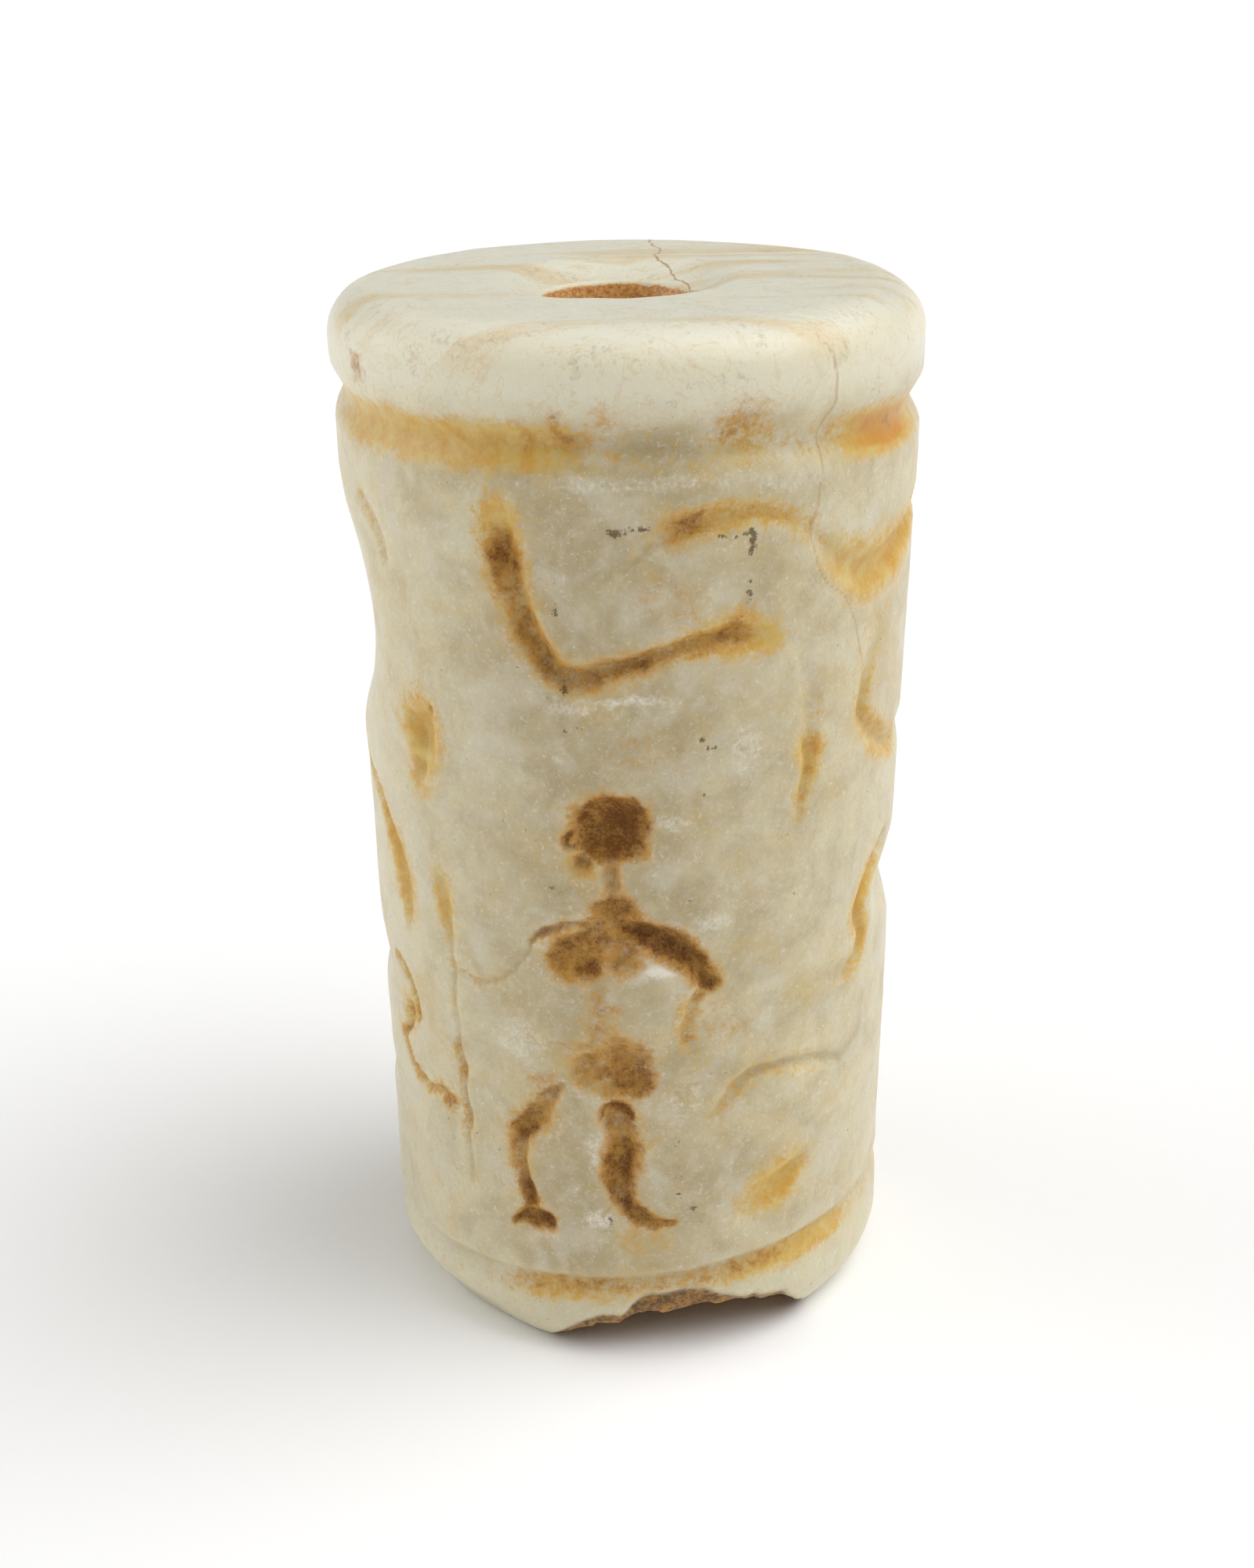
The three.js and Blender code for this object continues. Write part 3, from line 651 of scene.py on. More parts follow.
def carve(angle, z):
    """How deep the wall is cut at each place, with its brown and ochre amounts, its bruised lips
    whitened as painted highlight, and its tan tone with painted shade on the front.
    """
    radius = plain_radius(z)
    a = np.radians(angle)
    place = np.stack([radius * np.sin(a), -radius * np.cos(a), z], -1)
    # a hand-cut wobble, so that no edge is perfectly even
    wobble_u = layered(place, STROKE_WOBBLE_ROUND)
    wobble_v = layered(place, STROKE_WOBBLE_UP)
    amounts = {name: np.zeros(angle.shape) for name in ("deep", "brown", "ochre", "bruise_and_highlight")}

    def cut_in(near, x, depth, brown, ochre, below):
        cut = depth * (1 - smooth(x, CUT_FADE, CUT_END))
        amounts["deep"][near] = (amounts["deep"][near] ** 3 + cut**3) ** (1 / 3)
        dirt = brown * (1 - smooth(x, BROWN_FADE, BROWN_END))
        amounts["brown"][near] = np.maximum(amounts["brown"][near], dirt)
        halo = ochre * np.clip((OCHRE_END - x) / (OCHRE_END - OCHRE_FADE), 0, 1)
        amounts["ochre"][near] = np.maximum(amounts["ochre"][near], halo)
        # a whitened lip below the cut where it faces up: bruised stone with a painted highlight
        lip = band(x - LIP_PLACE, 1, LIP_HALF_WIDTH) * smooth(below, 0.1, 0.6)
        lip = LIP_AMOUNT * lip * np.clip(2 * depth, 0, 1)
        amounts["bruise_and_highlight"][near] = np.maximum(amounts["bruise_and_highlight"][near], lip)

    for centre, height, half_width, half_height, depth, brown, ochre in DRILLED:
        u = turn_between(angle, centre) * WALL_SCALE + wobble_u
        v = z - height + wobble_v
        near = np.maximum(abs(u) / half_width, abs(v) / half_height) < 3
        x = np.hypot(u[near] / half_width, v[near] / half_height)
        x = np.where(x > 1, 1 + (x - 1) * min(half_width, half_height) / DRILLED_FALL, x)
        cut_in(near, x, depth, brown, ochre, -v[near])
    for points, width, depth, brown, ochre in GOUGED:
        path = stroke_path(points)
        u = turn_between(angle, points[0][0]) * WALL_SCALE + wobble_u
        v = z + wobble_v
        reach = 2 * max(width) + 0.5
        low, high = path.min(0) - reach, path.max(0) + reach
        near = (u > low[0]) & (u < high[0]) & (v > low[1]) & (v < high[1])
        distance, share, below = along_path(path, u[near], v[near])
        x = distance / (0.5 * spread(width, share))
        depth, brown, ochre = (spread(values, share) for values in (depth, brown, ochre))
        cut_in(near, x, depth, brown, ochre, below)
    # patches of dust, and pale patches of painted highlight
    for table, name in ((DUST, "brown"), (HIGHLIGHT_PATCHES, "bruise_and_highlight")):
        for centre, height, half_width, half_height, amount in table:
            u = turn_between(angle, centre) * WALL_SCALE + wobble_u
            x = np.hypot(u / half_width, (z - height + wobble_v) / half_height)
            amounts[name] = np.maximum(amounts[name], amount * (1 - smooth(x, PATCH_FADE, PATCH_END)))
    amounts["mark"] = np.full(angle.shape, UNMARKED)
    for size, points in MARKS:
        u = turn_between(angle, points[0][0]) * WALL_SCALE + MARK_WOBBLE * wobble_u
        v = z + MARK_WOBBLE * wobble_v
        near = (abs(u) < 3) & (abs(z - points[0][1]) < 2)
        distance, _, _ = along_path(stroke_path(points), u[near], v[near])
        amounts["mark"][near] = np.minimum(amounts["mark"][near], distance - size)

    for centre, height, half_angle, half_height, depth in HOLLOWS:
        x = np.hypot(turn_between(angle, centre) / half_angle, (z - height) / half_height)
        amounts["deep"] += depth * (1 - smooth(x, 0.25, 1))

    # the two lines, aslant as they are cut, and the dirt that lies in them, with painted shade under
    # the foot line's ledge
    rise = np.sin(a)
    dip = read_round(angle, UPPER_DIP)
    up = z - (UPPER_LINE + UPPER_LINE_TILT * rise - dip) + LINE_WOBBLE * wobble_v
    line = UPPER_LINE_DEPTH * (1 - smooth(abs(up), 0, UPPER_LINE_WIDTH / 2))
    down = z - (FOOT_LINE + FOOT_LINE_TILT * rise) + LINE_WOBBLE * wobble_v
    ledge = FOOT_LINE_DEPTH * np.where(
        down > 0,
        1 - smooth(down, 0, FOOT_LINE_WIDTH * 0.3),
        1 - smooth(-down, 0, FOOT_LINE_WIDTH * 0.7),
    )
    amounts["deep"] += line + ledge
    foot_dirt_and_shade = np.interp(abs(turn_between(angle, FOOT_DIRT_AND_SHADE_ANGLE)), *zip(*FOOT_DIRT_AND_SHADE))
    for name, amount, nearness in (
        ("ochre", read_round(angle, UPPER_OCHRE), band(up + 0.15, 1.7, 0.8)),
        ("brown", read_round(angle, UPPER_BROWN), band(up, 1.3, 0.6)),
        ("ochre", read_round(angle, FOOT_OCHRE), band(down + 0.45, 1.6, 0.6)),
        ("brown", foot_dirt_and_shade, band(down + 0.3, 1.5, 0.45)),
    ):
        amounts[name] = np.maximum(amounts[name], amount * nearness)

    amounts["deep"] += WALL_SKIN + layered(place, WALL_WEAR)
    # a tan tone round the wall, darkest at the front: painted shade
    amounts["tan_and_shade"] = read_round(angle, WALL_TAN_AND_SHADE)
    return amounts


def column_angles():
    """Degrees round from the front, close together where the camera looks."""
    front = np.arange(-FRONT_HALF_ANGLE, FRONT_HALF_ANGLE, FRONT_STEP)
    back = np.arange(FRONT_HALF_ANGLE, 360 - FRONT_HALF_ANGLE, BACK_STEP)
    return np.concatenate([front, back])


def chip_surface(x, y):
    """The height of the broken surface over a place on the underside."""
    a = np.radians(CHIP_ANGLE)
    along = x * np.cos(a) + y * np.sin(a)
    inward = np.maximum(0, FOOT_RADIUS - (x * np.sin(a) - y * np.cos(a)))
    crown = CHIP_RISE * (1 - abs(2 * along / CHIP_LENGTH) ** 4)
    steep = (CHIP_BREAK - CHIP_BREAK_LEAN * along) * smooth(inward, 0, 0.45)
    run = (CHIP_RISE - CHIP_BREAK) * inward / CHIP_REACH
    lumps = CHIP_ROUGHNESS * np.sin(2.1 * along + 1.3 * inward) * np.cos(1.7 * inward - 0.9 * along)
    flat = np.stack([x, y, np.zeros_like(x)], -1)
    return crown - steep - run - CHIP_LEAN * along + lumps + layered(flat, CHIP_GRAIN)


def flake(angle, r, z, broken, outer):
    """Break away the foot's edge over the chip: the radii and broken amounts after that."""
    a = np.radians(angle)
    low = max(z[broken > 0.5], default=0)
    uneven = grain(np.array([[r[-1] * np.sin(a), -r[-1] * np.cos(a), 0.0]]), 0.8, 14)[0]
    top = low + read_round(angle, FLAKES) * (1 + 0.12 * uneven)
    reached = smooth(top - z, 0, FLAKE_FADE) * (r > outer)
    return r - FLAKE_DEPTH * reached, np.maximum(broken, reached)


def foot_column(angle, wall_z, wall_r):
    """One column of the foot, out over the underside, round its edge and up the wall, with the
    chip taken out of it, as radii, heights and how broken each point is."""
    turn = np.linspace(np.pi / 2, 0, FOOT_EDGE_STEPS + 1)[1:]
    flat_r = np.linspace(FOOT_MOUTH_START, wall_r[0] - FOOT_EDGE_INSET, UNDERSIDE_STEPS)
    edge_r = wall_r[0] - FOOT_EDGE_INSET * (1 - np.cos(turn))
    edge_z = wall_z[0] - FOOT_EDGE_DEPTH * np.sin(turn)
    left_wear = LEFT_WEAR * (1 - smooth(abs(turn_between(angle, LEFT_WEAR_ANGLE)), 8, 34))
    edge_r = edge_r - left_wear * np.sin(2 * turn) ** 2
    r = np.concatenate([flat_r, edge_r, wall_r[1:]])
    z = np.concatenate([np.zeros_like(flat_r), edge_z, wall_z[1:]])
    a = np.radians(angle)
    ceiling = chip_surface(r * np.sin(a), -r * np.cos(a))
    cut = ceiling > z + 0.02
    broken = cut.astype(float)
    if cut.any():
        first, last = np.nonzero(cut)[0][[0, -1]]
        across = np.linspace(r[first], r[last], CHIP_STEPS)
        under = chip_surface(across * np.sin(a), -across * np.cos(a))
        r = np.concatenate([r[:first], across, r[last + 1 :]])
        z = np.concatenate([z[:first], np.maximum(under, 0), z[last + 1 :]])
        broken = np.concatenate([broken[:first], np.ones(CHIP_STEPS), broken[last + 1 :]])
    if FLAKES[0][0] < angle < FLAKES[-1][0]:
        r, broken = flake(angle, r, z, broken, wall_r[0] - FLAKE_START * FOOT_EDGE_INSET)
    length = np.concatenate([[0], np.cumsum(np.hypot(np.diff(r), np.diff(z)))])
    even = np.linspace(0, length[-1], FOOT_ROWS)
    return np.interp(even, length, r), np.interp(even, length, z), np.interp(even, length, broken)


def seal_surface():
    """The seal's surface as grids of radius and height, row by row from the underside round to
    the bore, with how broken the foot is and what the wall carries."""
    angles = column_angles()
    columns = len(angles)
    foot_z = np.linspace(FOOT_EDGE_DEPTH, FOOT_ZONE_TOP, FOOT_WALL_STEPS)
    main_z = np.linspace(FOOT_ZONE_TOP, SEAL_HEIGHT - TOP_EDGE_DEPTH, WALL_ROWS + 1)[1:]
    heights = np.concatenate([foot_z, main_z])
    angle_grid, z_grid = np.meshgrid(angles, heights)
    amounts = carve(angle_grid, z_grid)
    wall_r = plain_radius(z_grid) - amounts["deep"]

    foot = [foot_column(angle, foot_z, wall_r[: len(foot_z), i]) for i, angle in enumerate(angles)]
    foot_r, foot_zs, foot_broken = (np.stack(part, 1) for part in zip(*foot))
    main_r = wall_r[len(foot_z) :]
    main_zs = z_grid[len(foot_z) :]

    edge = np.linspace(0, np.pi / 2, EDGE_ROWS + 1)[1:, None]
    top_r = main_r[-1]
    fuller = TOP_EDGE_FULLER * (1 + np.cos(np.radians(angles - LEAST_WORN_ANGLE))) / 2
    edge_r = top_r - (TOP_EDGE_INSET - fuller) * (1 - np.cos(edge))
    edge_z = main_zs[-1] + (TOP_FACE - main_zs[-1]) * np.sin(edge)

    whole = np.ones(columns)
    inner = BORE_RADIUS + BORE_FLARE
    rings = []
    for t in np.linspace(0, 1, FACE_ROWS + 1)[1:-1]:
        rings.append((edge_r[-1] + (TOP_MOUTH_START - edge_r[-1]) * t, TOP_FACE * whole))
    for t in np.linspace(0, 1, TOP_MOUTH_ROWS + 1):
        radius = TOP_MOUTH_START + (inner - TOP_MOUTH_START) * t
        rings.append((radius * whole, (TOP_FACE - TOP_MOUTH_DEPTH * smooth(t, 0, 1.12)) * whole))
    for down in BORE_STEPS:
        radius = BORE_RADIUS + BORE_FLARE * max(0, 1 - down / BORE_FLARE_DEPTH)
        rings.append((radius * whole, (SEAL_HEIGHT - TOP_MOUTH_DEPTH - down) * whole))
    for t in np.linspace(1, 0, FOOT_MOUTH_ROWS + 1)[:-1]:
        radius = FOOT_MOUTH_START + (inner - FOOT_MOUTH_START) * t
        rings.append((radius * whole, FOOT_MOUTH_DEPTH * smooth(t, 0, 1.15) * whole))
    ring_r, ring_z = (np.stack(part) for part in zip(*rings))

    radius = np.concatenate([foot_r, main_r, edge_r, ring_r])
    height = np.concatenate([foot_zs, main_zs, edge_z, ring_z])
    return angles, radius, height, foot_broken, amounts, len(foot_z)


def seal_points():
    """The seal's points in millimetres, one row of columns after another, with their amounts."""
    angles, radius, height, foot_broken, wall_amounts, foot_wall_rows = seal_surface()
    rows = len(radius)
    angle = np.broadcast_to(angles, radius.shape)
    a = np.radians(angle)
    wall_rows = slice(FOOT_ROWS, FOOT_ROWS + WALL_ROWS)

    # what the wall carries, read again where the foot's rows now lie
    low = carve(angle[:FOOT_ROWS], np.maximum(height[:FOOT_ROWS], 1.2))
    amounts = {}
    for name in ("brown", "ochre", "bruise_and_highlight", "mark", "tan_and_shade"):
        whole = np.full(radius.shape, UNMARKED if name == "mark" else 0.0)
        whole[wall_rows] = wall_amounts[name][foot_wall_rows:]
        whole[:FOOT_ROWS] = low[name]
        amounts[name] = whole
    broken = np.zeros(radius.shape)
    broken[:FOOT_ROWS] = foot_broken
    amounts["broken"] = broken
    kept = 1 - broken
    kept[:FOOT_ROWS] *= smooth(height[:FOOT_ROWS], 1.0, 2.2)
    for name in ("brown", "ochre", "bruise_and_highlight"):
        amounts[name] = amounts[name] * kept

    # the ends are centred on the bore near it and on the drum further out
    ends = np.ones((rows, 1))
    ends[wall_rows] = 0
    offset = BORE_OFFSET * (1 - smooth(radius, ON_BORE, ON_DRUM)) * ends
    points = np.stack([radius * np.sin(a) + offset, -radius * np.cos(a), height], -1)

    # wear on the rounded edges and the faces, always inward
    on_end = np.zeros((rows, 1))
    on_end[FOOT_ROWS + WALL_ROWS :] = 1
    worn = END_SKIN + layered(points, END_WEAR)
    middle = smooth(height, 3, 6) * (1 - smooth(height, 40, 44))
    drop = worn * on_end * (1 - middle)
    points[..., 2] = points[..., 2] - np.where(height > 20, 1, -1) * drop

    # cracks on the wall and rim
    wobble = layered(points, CRACK_WOBBLE)
    nearest = np.full(radius.shape, UNCRACKED)
    for path in WALL_CRACKS:
        u = turn_between(angle, path[0][0]) * WALL_SCALE
        distance, _, _ = along_path(stroke_path(path), u + wobble, height - wobble)
        nearest = np.minimum(nearest, distance)
    amounts["crack"] = np.where(radius > FACE_INNER_RADIUS, nearest, UNCRACKED)

    # the bore's wall holds orange dirt from a little below its mouth
    deep = smooth(SEAL_HEIGHT - TOP_MOUTH_DEPTH - height, -0.05, 0.3)
    amounts["bore"] = deep * (radius < BORE_RADIUS + BORE_FLARE + 0.1)
    return points, amounts


def build_seal():
    """The carved seal as one closed mesh, in metres."""
    points, amounts = seal_points()
    rows, columns, _ = points.shape
    row, column = np.meshgrid(np.arange(rows), np.arange(columns), indexing="ij")
    next_row, next_column = (row + 1) % rows, (column + 1) % columns
    quads = np.stack(
        [
            row * columns + column,
            row * columns + next_column,
            next_row * columns + next_column,
            next_row * columns + column,
        ],
        -1,
    ).reshape(-1, 4)
    mesh = bpy.data.meshes.new("carved_seal")
    mesh.vertices.add(rows * columns)
    mesh.vertices.foreach_set("co", (points * MM).ravel())
    mesh.loops.add(quads.size)
    mesh.loops.foreach_set("vertex_index", quads.ravel())
    mesh.polygons.add(len(quads))
    mesh.polygons.foreach_set("loop_start", np.arange(0, quads.size, 4))
    mesh.update(calc_edges=True)
    mesh.validate()
    mesh.shade_smooth()
    for name, values in amounts.items():
        layer = mesh.attributes.new(name, "FLOAT", "POINT")
        layer.data.foreach_set("value", values.ravel().astype(np.float32))
    piece = bpy.data.objects.new("carved_seal", mesh)
    bpy.context.scene.collection.objects.link(piece)
    return piece


def colour(red, green, blue):
    """A shader colour from sRGB values of 0 to 255."""
    shares = [value / 255 for value in (red, green, blue)]
    linear = [c / 12.92 if c <= 0.04045 else ((c + 0.055) / 1.055) ** 2.4 for c in shares]
    return (*linear, 1)


class Nodes:
    """Short ways to add nodes to one material or world."""

    def __init__(self, owner):
        owner.use_nodes = True
        self.tree = owner.node_tree
        self.tree.nodes.clear()

    def add(self, kind, inputs=None, **settings):
        made = self.tree.nodes.new(kind)
        for name, value in settings.items():
            setattr(made, name, value)
        for key, value in (inputs or {}).items():
            if isinstance(value, bpy.types.NodeSocket):
                self.tree.links.new(value, made.inputs[key])
            else:
                made.inputs[key].default_value = value
        return made

    def noise(self, place, scale, detail=2.0, roughness=0.5, distortion=0.0):
        inputs = {"Vector": place, "Scale": scale, "Detail": detail}
        inputs.update({"Roughness": roughness, "Distortion": distortion})
        return self.add("ShaderNodeTexNoise", inputs).outputs["Fac"]

    def rise(self, value, low, high, top=1.0):
        inputs = {"Value": value, "From Min": low, "From Max": high, "To Min": 0.0, "To Max": top}
        step = self.add("ShaderNodeMapRange", inputs, interpolation_type="SMOOTHSTEP")
        return step.outputs["Result"]

    def calc(self, operation, a, b=0.0):
        return self.add("ShaderNodeMath", {0: a, 1: b}, operation=operation).outputs[0]

    def blend(self, amount, a, b):
        return self.add("ShaderNodeMix", {0: amount, 6: a, 7: b}, data_type="RGBA").outputs[2]

    def times(self, a, b):
        return self.calc("MULTIPLY", a, b)

    def plus(self, a, b):
        return self.calc("ADD", a, b)

    def about(self, value, middle=0.5):
        """A value less its middle, so that it swings either side of nothing."""
        return self.calc("SUBTRACT", value, middle)

    def amount(self, name):
        return self.add("ShaderNodeAttribute", attribute_name=name).outputs["Fac"]


def clean_stone(n, place, z):
    """The stone without its dirt, with painted shade on the front of the wall, and with the mottle and
    the crystal that its relief follows.
    """
    # a tan tone darkest at the front of the wall and whiter at the sides, which is painted shade,
    # clouded with honey and chalk
    drift = n.noise(place, 0.13, 3.0, 0.55, 0.7)
    cloud = n.noise(place, 0.42, 4.0, 0.62, 0.5)
    mottle = n.noise(place, 1.5, 4.0, 0.65, 0.4)
    crystal = n.noise(place, 6.0, 3.0, 0.65)
    tan_and_shade = n.plus(n.amount("tan_and_shade"), n.times(n.about(cloud), 2.2))
    stone = n.blend(n.rise(tan_and_shade, -0.1, 1.15), colour(211, 201, 168), colour(178, 162, 124))
    honey = n.rise(n.noise(place, 0.26, 3.0, 0.55, 1.2), 0.48, 0.70, 0.45)
    stone = n.blend(honey, stone, colour(201, 177, 118))
    chalk = n.rise(n.noise(place, 0.45, 2.0, 0.5, 0.6), 0.50, 0.68, 0.5)
    stone = n.blend(chalk, stone, colour(208, 201, 180))
    stone = n.blend(n.rise(mottle, 0.45, 0.68, 0.25), stone, colour(218, 212, 189))
    rim = n.times(n.rise(z, 41.2, 43.2), n.rise(drift, 0.1, 0.4, 0.95))
    stone = n.blend(rim, stone, colour(226, 221, 198))
    stone = n.blend(n.rise(z, 44.4, 45.1, 0.8), stone, colour(226, 224, 207))
    stone = n.blend(n.rise(z, 5.0, 2.2, 0.6), stone, colour(216, 211, 184))

    # honey-coloured bedding on the top face, drawn out along X
    squash = n.add("ShaderNodeMapping", {"Vector": place, "Scale": (0.05, 0.36, 0.2)}).outputs[0]
    bands = n.rise(n.noise(squash, 1.0, 4.0, 0.6, 0.5), 0.50, 0.66, 0.55)
    stone = n.blend(n.times(bands, n.rise(z, 43.0, 44.9)), stone, colour(214, 186, 130))

    # thin veins, white opaque flecks and fine crystal
    veins = n.calc("ABSOLUTE", n.about(n.noise(place, 0.35, 4.0, 0.6, 1.5)))
    stone = n.blend(n.rise(veins, 0.02, 0.0, 0.28), stone, colour(206, 176, 112))
    flecks = n.rise(n.noise(place, 3.2, 3.0, 0.75, 0.4), 0.60, 0.72, 0.4)
    stone = n.blend(flecks, stone, colour(234, 231, 217))
    stone = n.blend(n.rise(crystal, 0.55, 0.75, 0.3), stone, colour(240, 236, 222))
    stone = n.blend(n.rise(crystal, 0.42, 0.25, 0.16), stone, colour(158, 138, 92))

    # sparse brown specks, fewer on the rim, and grey-green ones round the rim
    speck_field = n.rise(n.noise(place, 0.55, 2.0, 0.5), 0.47, 0.62, 0.75)
    dots = n.rise(n.noise(place, 5.0, 3.0, 0.7, 0.4), 0.655, 0.72)
    specks = n.times(n.times(dots, speck_field), n.calc("SUBTRACT", 1.0, n.times(rim, 0.7)))
    stone = n.blend(specks, stone, colour(126, 98, 56))
    grey_field = n.times(n.rise(n.noise(place, 0.8, 3.0, 0.6), 0.55, 0.66), n.rise(z, 40.0, 42.0))
    grey = n.times(grey_field, n.rise(n.noise(place, 3.4, 3.0, 0.75), 0.48, 0.62, 0.3))
    return n.blend(grey, stone, colour(146, 136, 104)), mottle, crystal


def dirty_stone(n, place, stone, fine):
    """The stone with dirt in its cuts, marks, bore and break, painted highlights on its bruised lips,
    the break darkened as painted shade, and how much its marks show.
    """
    coarse = n.noise(place, 1.4, 4.0, 0.65)
    ragged = n.plus(n.times(fine, 0.6), n.times(coarse, 0.4))
    shift = n.about(ragged)
    clouds = n.about(n.noise(place, 2.3, 4.0, 0.75))

    # an ochre halo round the cuts
    ochre = n.plus(n.plus(n.amount("ochre"), n.times(clouds, 1.1)), n.times(shift, 0.9))
    tone = n.blend(n.rise(coarse, 0.35, 0.65), colour(210, 182, 100), colour(205, 158, 60))
    tone = n.blend(n.rise(n.amount("ochre"), 0.82, 1.1, 0.85), tone, colour(206, 138, 22))
    stone = n.blend(n.rise(ochre, 0.12, 0.82, 0.95), stone, tone)

    # a brown wash in them, darker where the dirt lies thick, and dark grains in the wash
    brown = n.amount("brown")
    wash = n.plus(brown, n.times(clouds, 1.1))
    depth = n.plus(brown, n.times(n.about(coarse), 1.8))
    tone = n.blend(n.rise(depth, 0.2, 1.0), colour(194, 144, 64), colour(130, 80, 20))
    stone = n.blend(n.rise(wash, 0.08, 0.62, 0.92), stone, tone)
    dust = n.about(n.noise(place, 9.0, 2.0, 0.7))
    grains = n.plus(n.plus(n.times(depth, 0.6), n.times(brown, 0.4)), n.times(dust, 2.2))
    stone = n.blend(n.rise(grains, 0.5, 1.25, 0.68), stone, colour(88, 46, 4))
    marks = n.rise(n.plus(n.amount("mark"), n.times(shift, 1.1)), 0.04, -0.05, 0.85)
    stone = n.blend(marks, stone, colour(92, 70, 14))

    # the bore's orange dirt, the bruised lips whitened as painted highlight, and the broken foot
    bore = n.rise(n.plus(n.amount("bore"), n.times(shift, 2.4)), 0.45, 0.62, 0.95)
    tone = n.blend(n.rise(fine, 0.38, 0.62), colour(184, 124, 50), colour(226, 178, 100))
    stone = n.blend(bore, stone, tone)
    bruise_and_highlight = n.rise(n.plus(n.amount("bruise_and_highlight"), n.times(shift, 2.2)), 0.25, 1.1, 0.8)
    clean = n.rise(brown, 0.35, 0.1)
    stone = n.blend(n.times(bruise_and_highlight, clean), stone, colour(236, 233, 222))
    # the broken foot in brown dirt, darkened further as painted shade
    tone = n.blend(n.rise(ragged, 0.42, 0.58), colour(84, 50, 8), colour(164, 118, 52))
    return n.blend(n.times(n.amount("broken"), 0.9), stone, tone), marks


def crack_lines(n, place, x, y, z):
    """Where the hairline cracks run: on the wall from its amounts, on the top face as a curve."""
    gap = n.plus(n.amount("crack"), n.times(n.noise(place, 1.1, 2.0), 0.08))
    on_wall = n.rise(gap, 0.16, 0.07, 0.45)
    along = n.calc("DIVIDE", n.calc("SUBTRACT", y, TOP_CRACK_FROM), TOP_CRACK_REACH)
    course = n.add("ShaderNodeFloatCurve", {"Value": along})
    curve = course.mapping.curves[0]
    curve.points[0].location = (0.0, TOP_CRACK_START)
    curve.points[1].location = (1.0, TOP_CRACK[-1][1] / TOP_CRACK_SPAN)
    for crack_y, crack_x in TOP_CRACK:
        curve.points.new((crack_y - TOP_CRACK_FROM) / TOP_CRACK_REACH, crack_x / TOP_CRACK_SPAN)
    course.mapping.update()
    off = n.calc("SUBTRACT", x, n.times(course.outputs[0], TOP_CRACK_SPAN))
    off = n.plus(off, n.times(n.about(n.noise(place, 0.9, 4.0, 0.6)), 0.8))
    on_top = n.rise(n.calc("ABSOLUTE", off), 0.075, 0.02, 0.75)
    on_top = n.times(on_top, n.rise(z, 43.6, 43.9))
    on_top = n.times(on_top, n.times(n.rise(y, -1.4, 0.0), n.rise(y, 11.4, 10.6)))
    return n.calc("MAXIMUM", on_wall, on_top)


def marble_material():
    """Pale, waxy, worn marble with honey veining, speckled dirt in the cuts, bruised edges whitened as
    painted highlight, and painted shade on the front of the wall and on the break.
    """
    made = bpy.data.materials.new("marble")
    n = Nodes(made)
    metres = n.add("ShaderNodeTexCoord").outputs["Object"]
    scaled = n.add("ShaderNodeVectorMath", {0: metres, "Scale": 1 / MM}, operation="SCALE")
    place = scaled.outputs[0]
    x, y, z = n.add("ShaderNodeSeparateXYZ", {0: place}).outputs
    fine = n.noise(place, 4.6, 3.0, 0.8)
    stone, mottle, crystal = clean_stone(n, place, z)
    stone, marks = dirty_stone(n, place, stone, fine)
    crack = crack_lines(n, place, x, y, z)
    stone = n.blend(crack, stone, colour(172, 134, 76))

    # relief too fine for the mesh
    scratched = n.add("ShaderNodeMapping", {"Vector": place, "Scale": (0.3, 5.0, 2.2)}).outputs[0]
    scratches = n.times(n.noise(scratched, 1.0, 3.0, 0.65), n.rise(z, 44.2, 45.0))
    broken = n.amount("broken")
    height = n.times(crystal, 0.4)
    for raised, amount in (
        (mottle, 0.7),
        (scratches, 0.6),
        (marks, -0.5),
        (n.times(fine, broken), 0.9),
    ):
        height = n.plus(height, n.times(raised, amount))
    bump = n.add("ShaderNodeBump", {"Height": height, "Strength": 0.45, "Distance": 0.00012})

    # dirt and the break are dull, the stone is waxy
    dirty = n.calc("MAXIMUM", n.rise(n.amount("brown"), 0.2, 0.8), broken)
    rough = n.plus(0.3, n.times(n.rise(mottle, 0.3, 0.7), 0.14))
    rough = n.plus(rough, n.times(dirty, 0.3))
    shader = n.add(
        "ShaderNodeBsdfPrincipled",
        {
            "Base Color": stone,
            "Roughness": rough,
            "Normal": bump.outputs[0],
            "Subsurface Weight": 0.6,
            "Subsurface Radius": (1.0, 0.72, 0.42),
            "Subsurface Scale": 0.0012,
            "Specular IOR Level": n.calc("SUBTRACT", 0.5, n.times(dirty, 0.3)),
            "IOR": 1.5,
        },
    )
    n.add("ShaderNodeOutputMaterial", {"Surface": shader.outputs[0]})
    return made


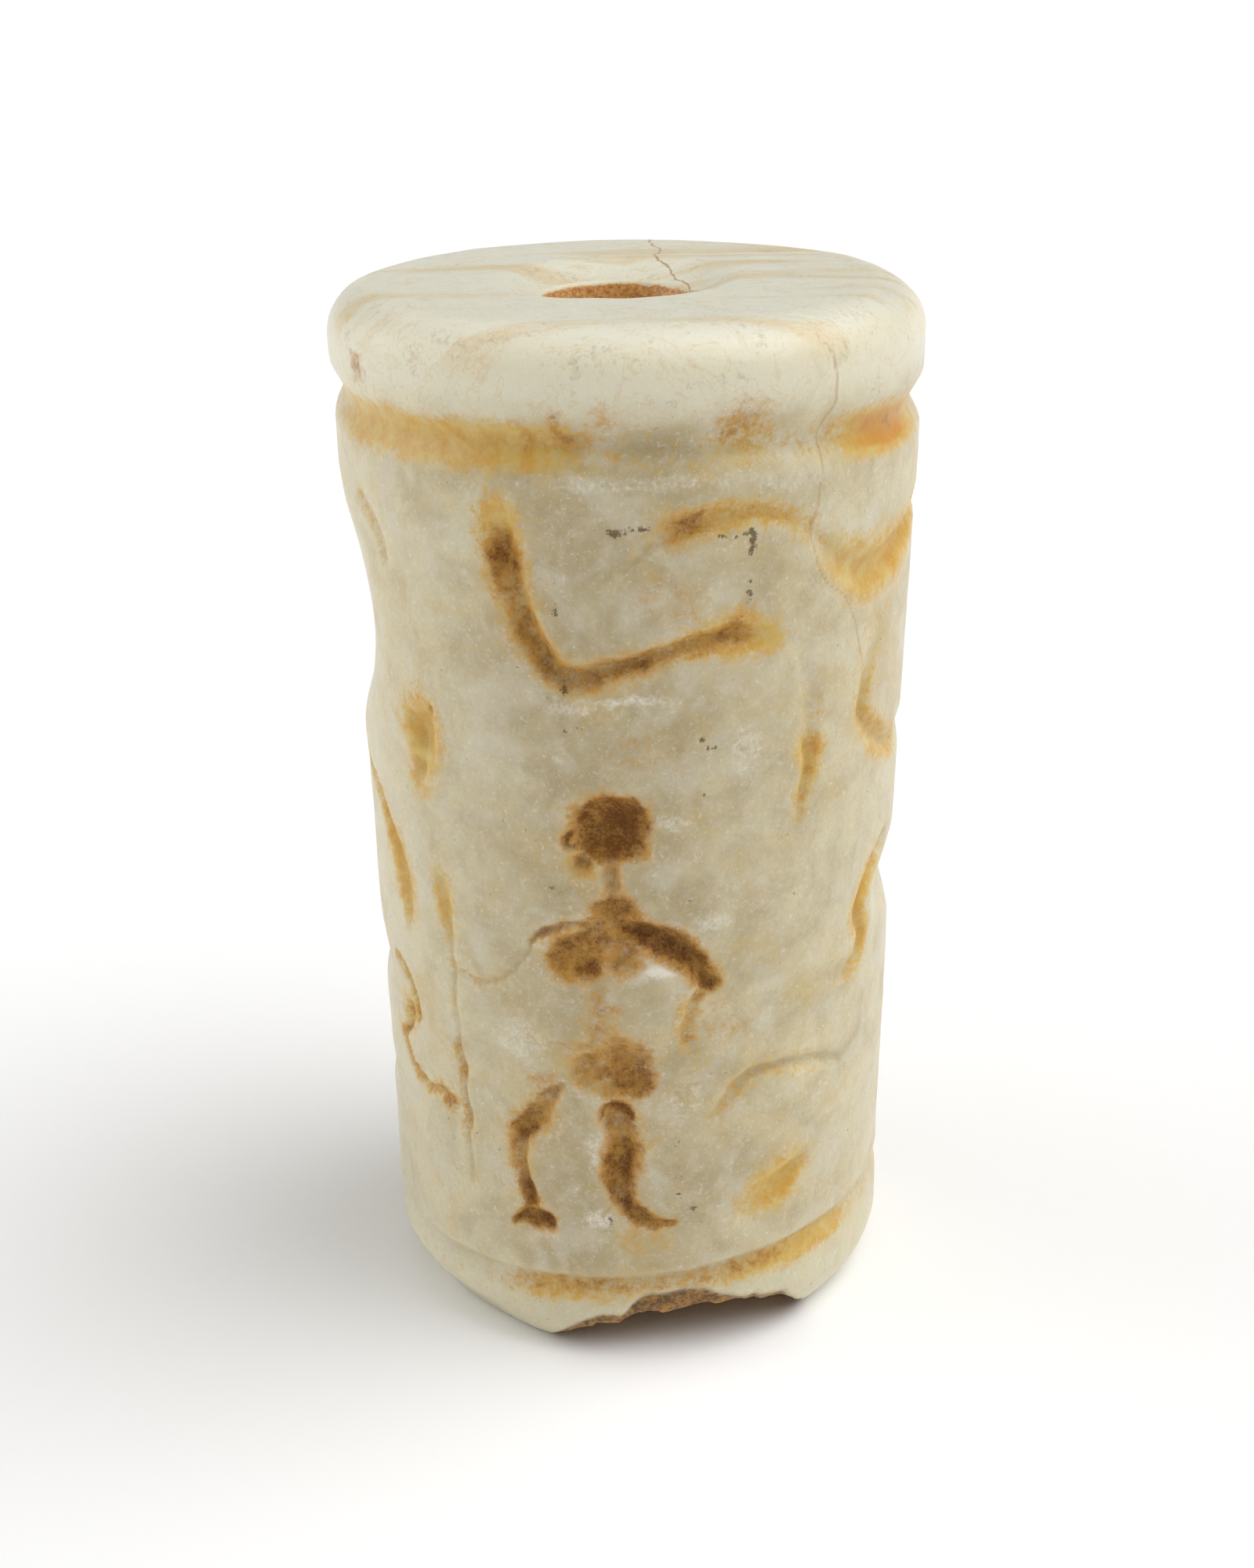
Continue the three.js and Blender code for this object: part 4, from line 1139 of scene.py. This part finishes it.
def build_floor():
    """A plain pale floor that curves up into a low wall far off, all round."""
    profile = [
        (FLOOR_FLAT + (FLOOR_REACH - FLOOR_FLAT) * np.sin(bend), FLOOR_RISE * (1 - np.cos(bend)))
        for bend in np.linspace(0, np.pi / 2, 9)
    ]
    turns = 2 * np.pi * np.arange(FLOOR_SIDES) / FLOOR_SIDES
    points = [(0, 0, 0)] + [(r * np.sin(a), -r * np.cos(a), z) for r, z in profile for a in turns]
    faces = [(0, 1 + k, 1 + (k + 1) % FLOOR_SIDES) for k in range(FLOOR_SIDES)]
    for inner in range(1, 1 + (len(profile) - 1) * FLOOR_SIDES, FLOOR_SIDES):
        outer = inner + FLOOR_SIDES
        for k in range(FLOOR_SIDES):
            after = (k + 1) % FLOOR_SIDES
            faces.append((inner + k, outer + k, outer + after, inner + after))
    mesh = bpy.data.meshes.new("floor")
    mesh.from_pydata(points, [], faces)
    mesh.shade_smooth()
    floor = bpy.data.objects.new("floor", mesh)
    bpy.context.scene.collection.objects.link(floor)
    made = bpy.data.materials.new("pale_floor")
    n = Nodes(made)
    inputs = {"Base Color": (0.96, 0.96, 0.96, 1), "Roughness": 0.9, "Specular IOR Level": 0.0}
    shader = n.add("ShaderNodeBsdfPrincipled", inputs)
    n.add("ShaderNodeOutputMaterial", {"Surface": shader.outputs[0]})
    mesh.materials.append(made)


def build_light():
    """Soft light from the right and round the sides and a dark room in front, as lobes of sky."""
    world = bpy.data.worlds.new("studio")
    bpy.context.scene.world = world
    n = Nodes(world)
    way = n.add("ShaderNodeTexCoord").outputs["Generated"]
    total = 0.0
    for turn, climb, start, strength in LIGHTS:
        a, b = np.radians(turn), np.radians(climb)
        middle = (float(np.sin(a) * np.cos(b)), float(-np.cos(a) * np.cos(b)), float(np.sin(b)))
        near = n.add("ShaderNodeVectorMath", {0: way, 1: middle}, operation="DOT_PRODUCT")
        total = n.plus(n.rise(near.outputs["Value"], start, 1.0, strength), total)
    sky = n.add("ShaderNodeBackground", {"Color": (1, 1, 1, 1), "Strength": total})
    n.add("ShaderNodeOutputWorld", {"Surface": sky.outputs[0]})


def build_camera():
    """The photograph's view: close, a little above and with a slight lean."""
    elevation, roll = np.radians(CAMERA_ELEVATION), np.radians(CAMERA_ROLL)
    back = Vector((0, -np.cos(elevation), np.sin(elevation)))
    across = Vector((1, 0, 0))
    up = back.cross(across)
    right = np.cos(roll) * across + np.sin(roll) * up
    up = np.cos(roll) * up - np.sin(roll) * across
    turn = Matrix((right, up, back)).transposed().to_4x4()
    lens = bpy.data.cameras.new("camera")
    lens.sensor_width = CAMERA_SENSOR
    lens.lens = CAMERA_LENS
    lens.clip_start = CAMERA_NEAR
    camera = bpy.data.objects.new("camera", lens)
    eye = Vector(CAMERA_AIM) + back * CAMERA_DISTANCE
    camera.matrix_world = Matrix.Translation(eye * MM) @ turn
    bpy.context.scene.collection.objects.link(camera)
    bpy.context.scene.camera = camera


build_camera()
seal = build_seal()
seal.data.materials.append(marble_material())
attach(seal, "root")
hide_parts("seal")
build_floor()
build_light()
bpy.context.scene.view_settings.view_transform = "Standard"
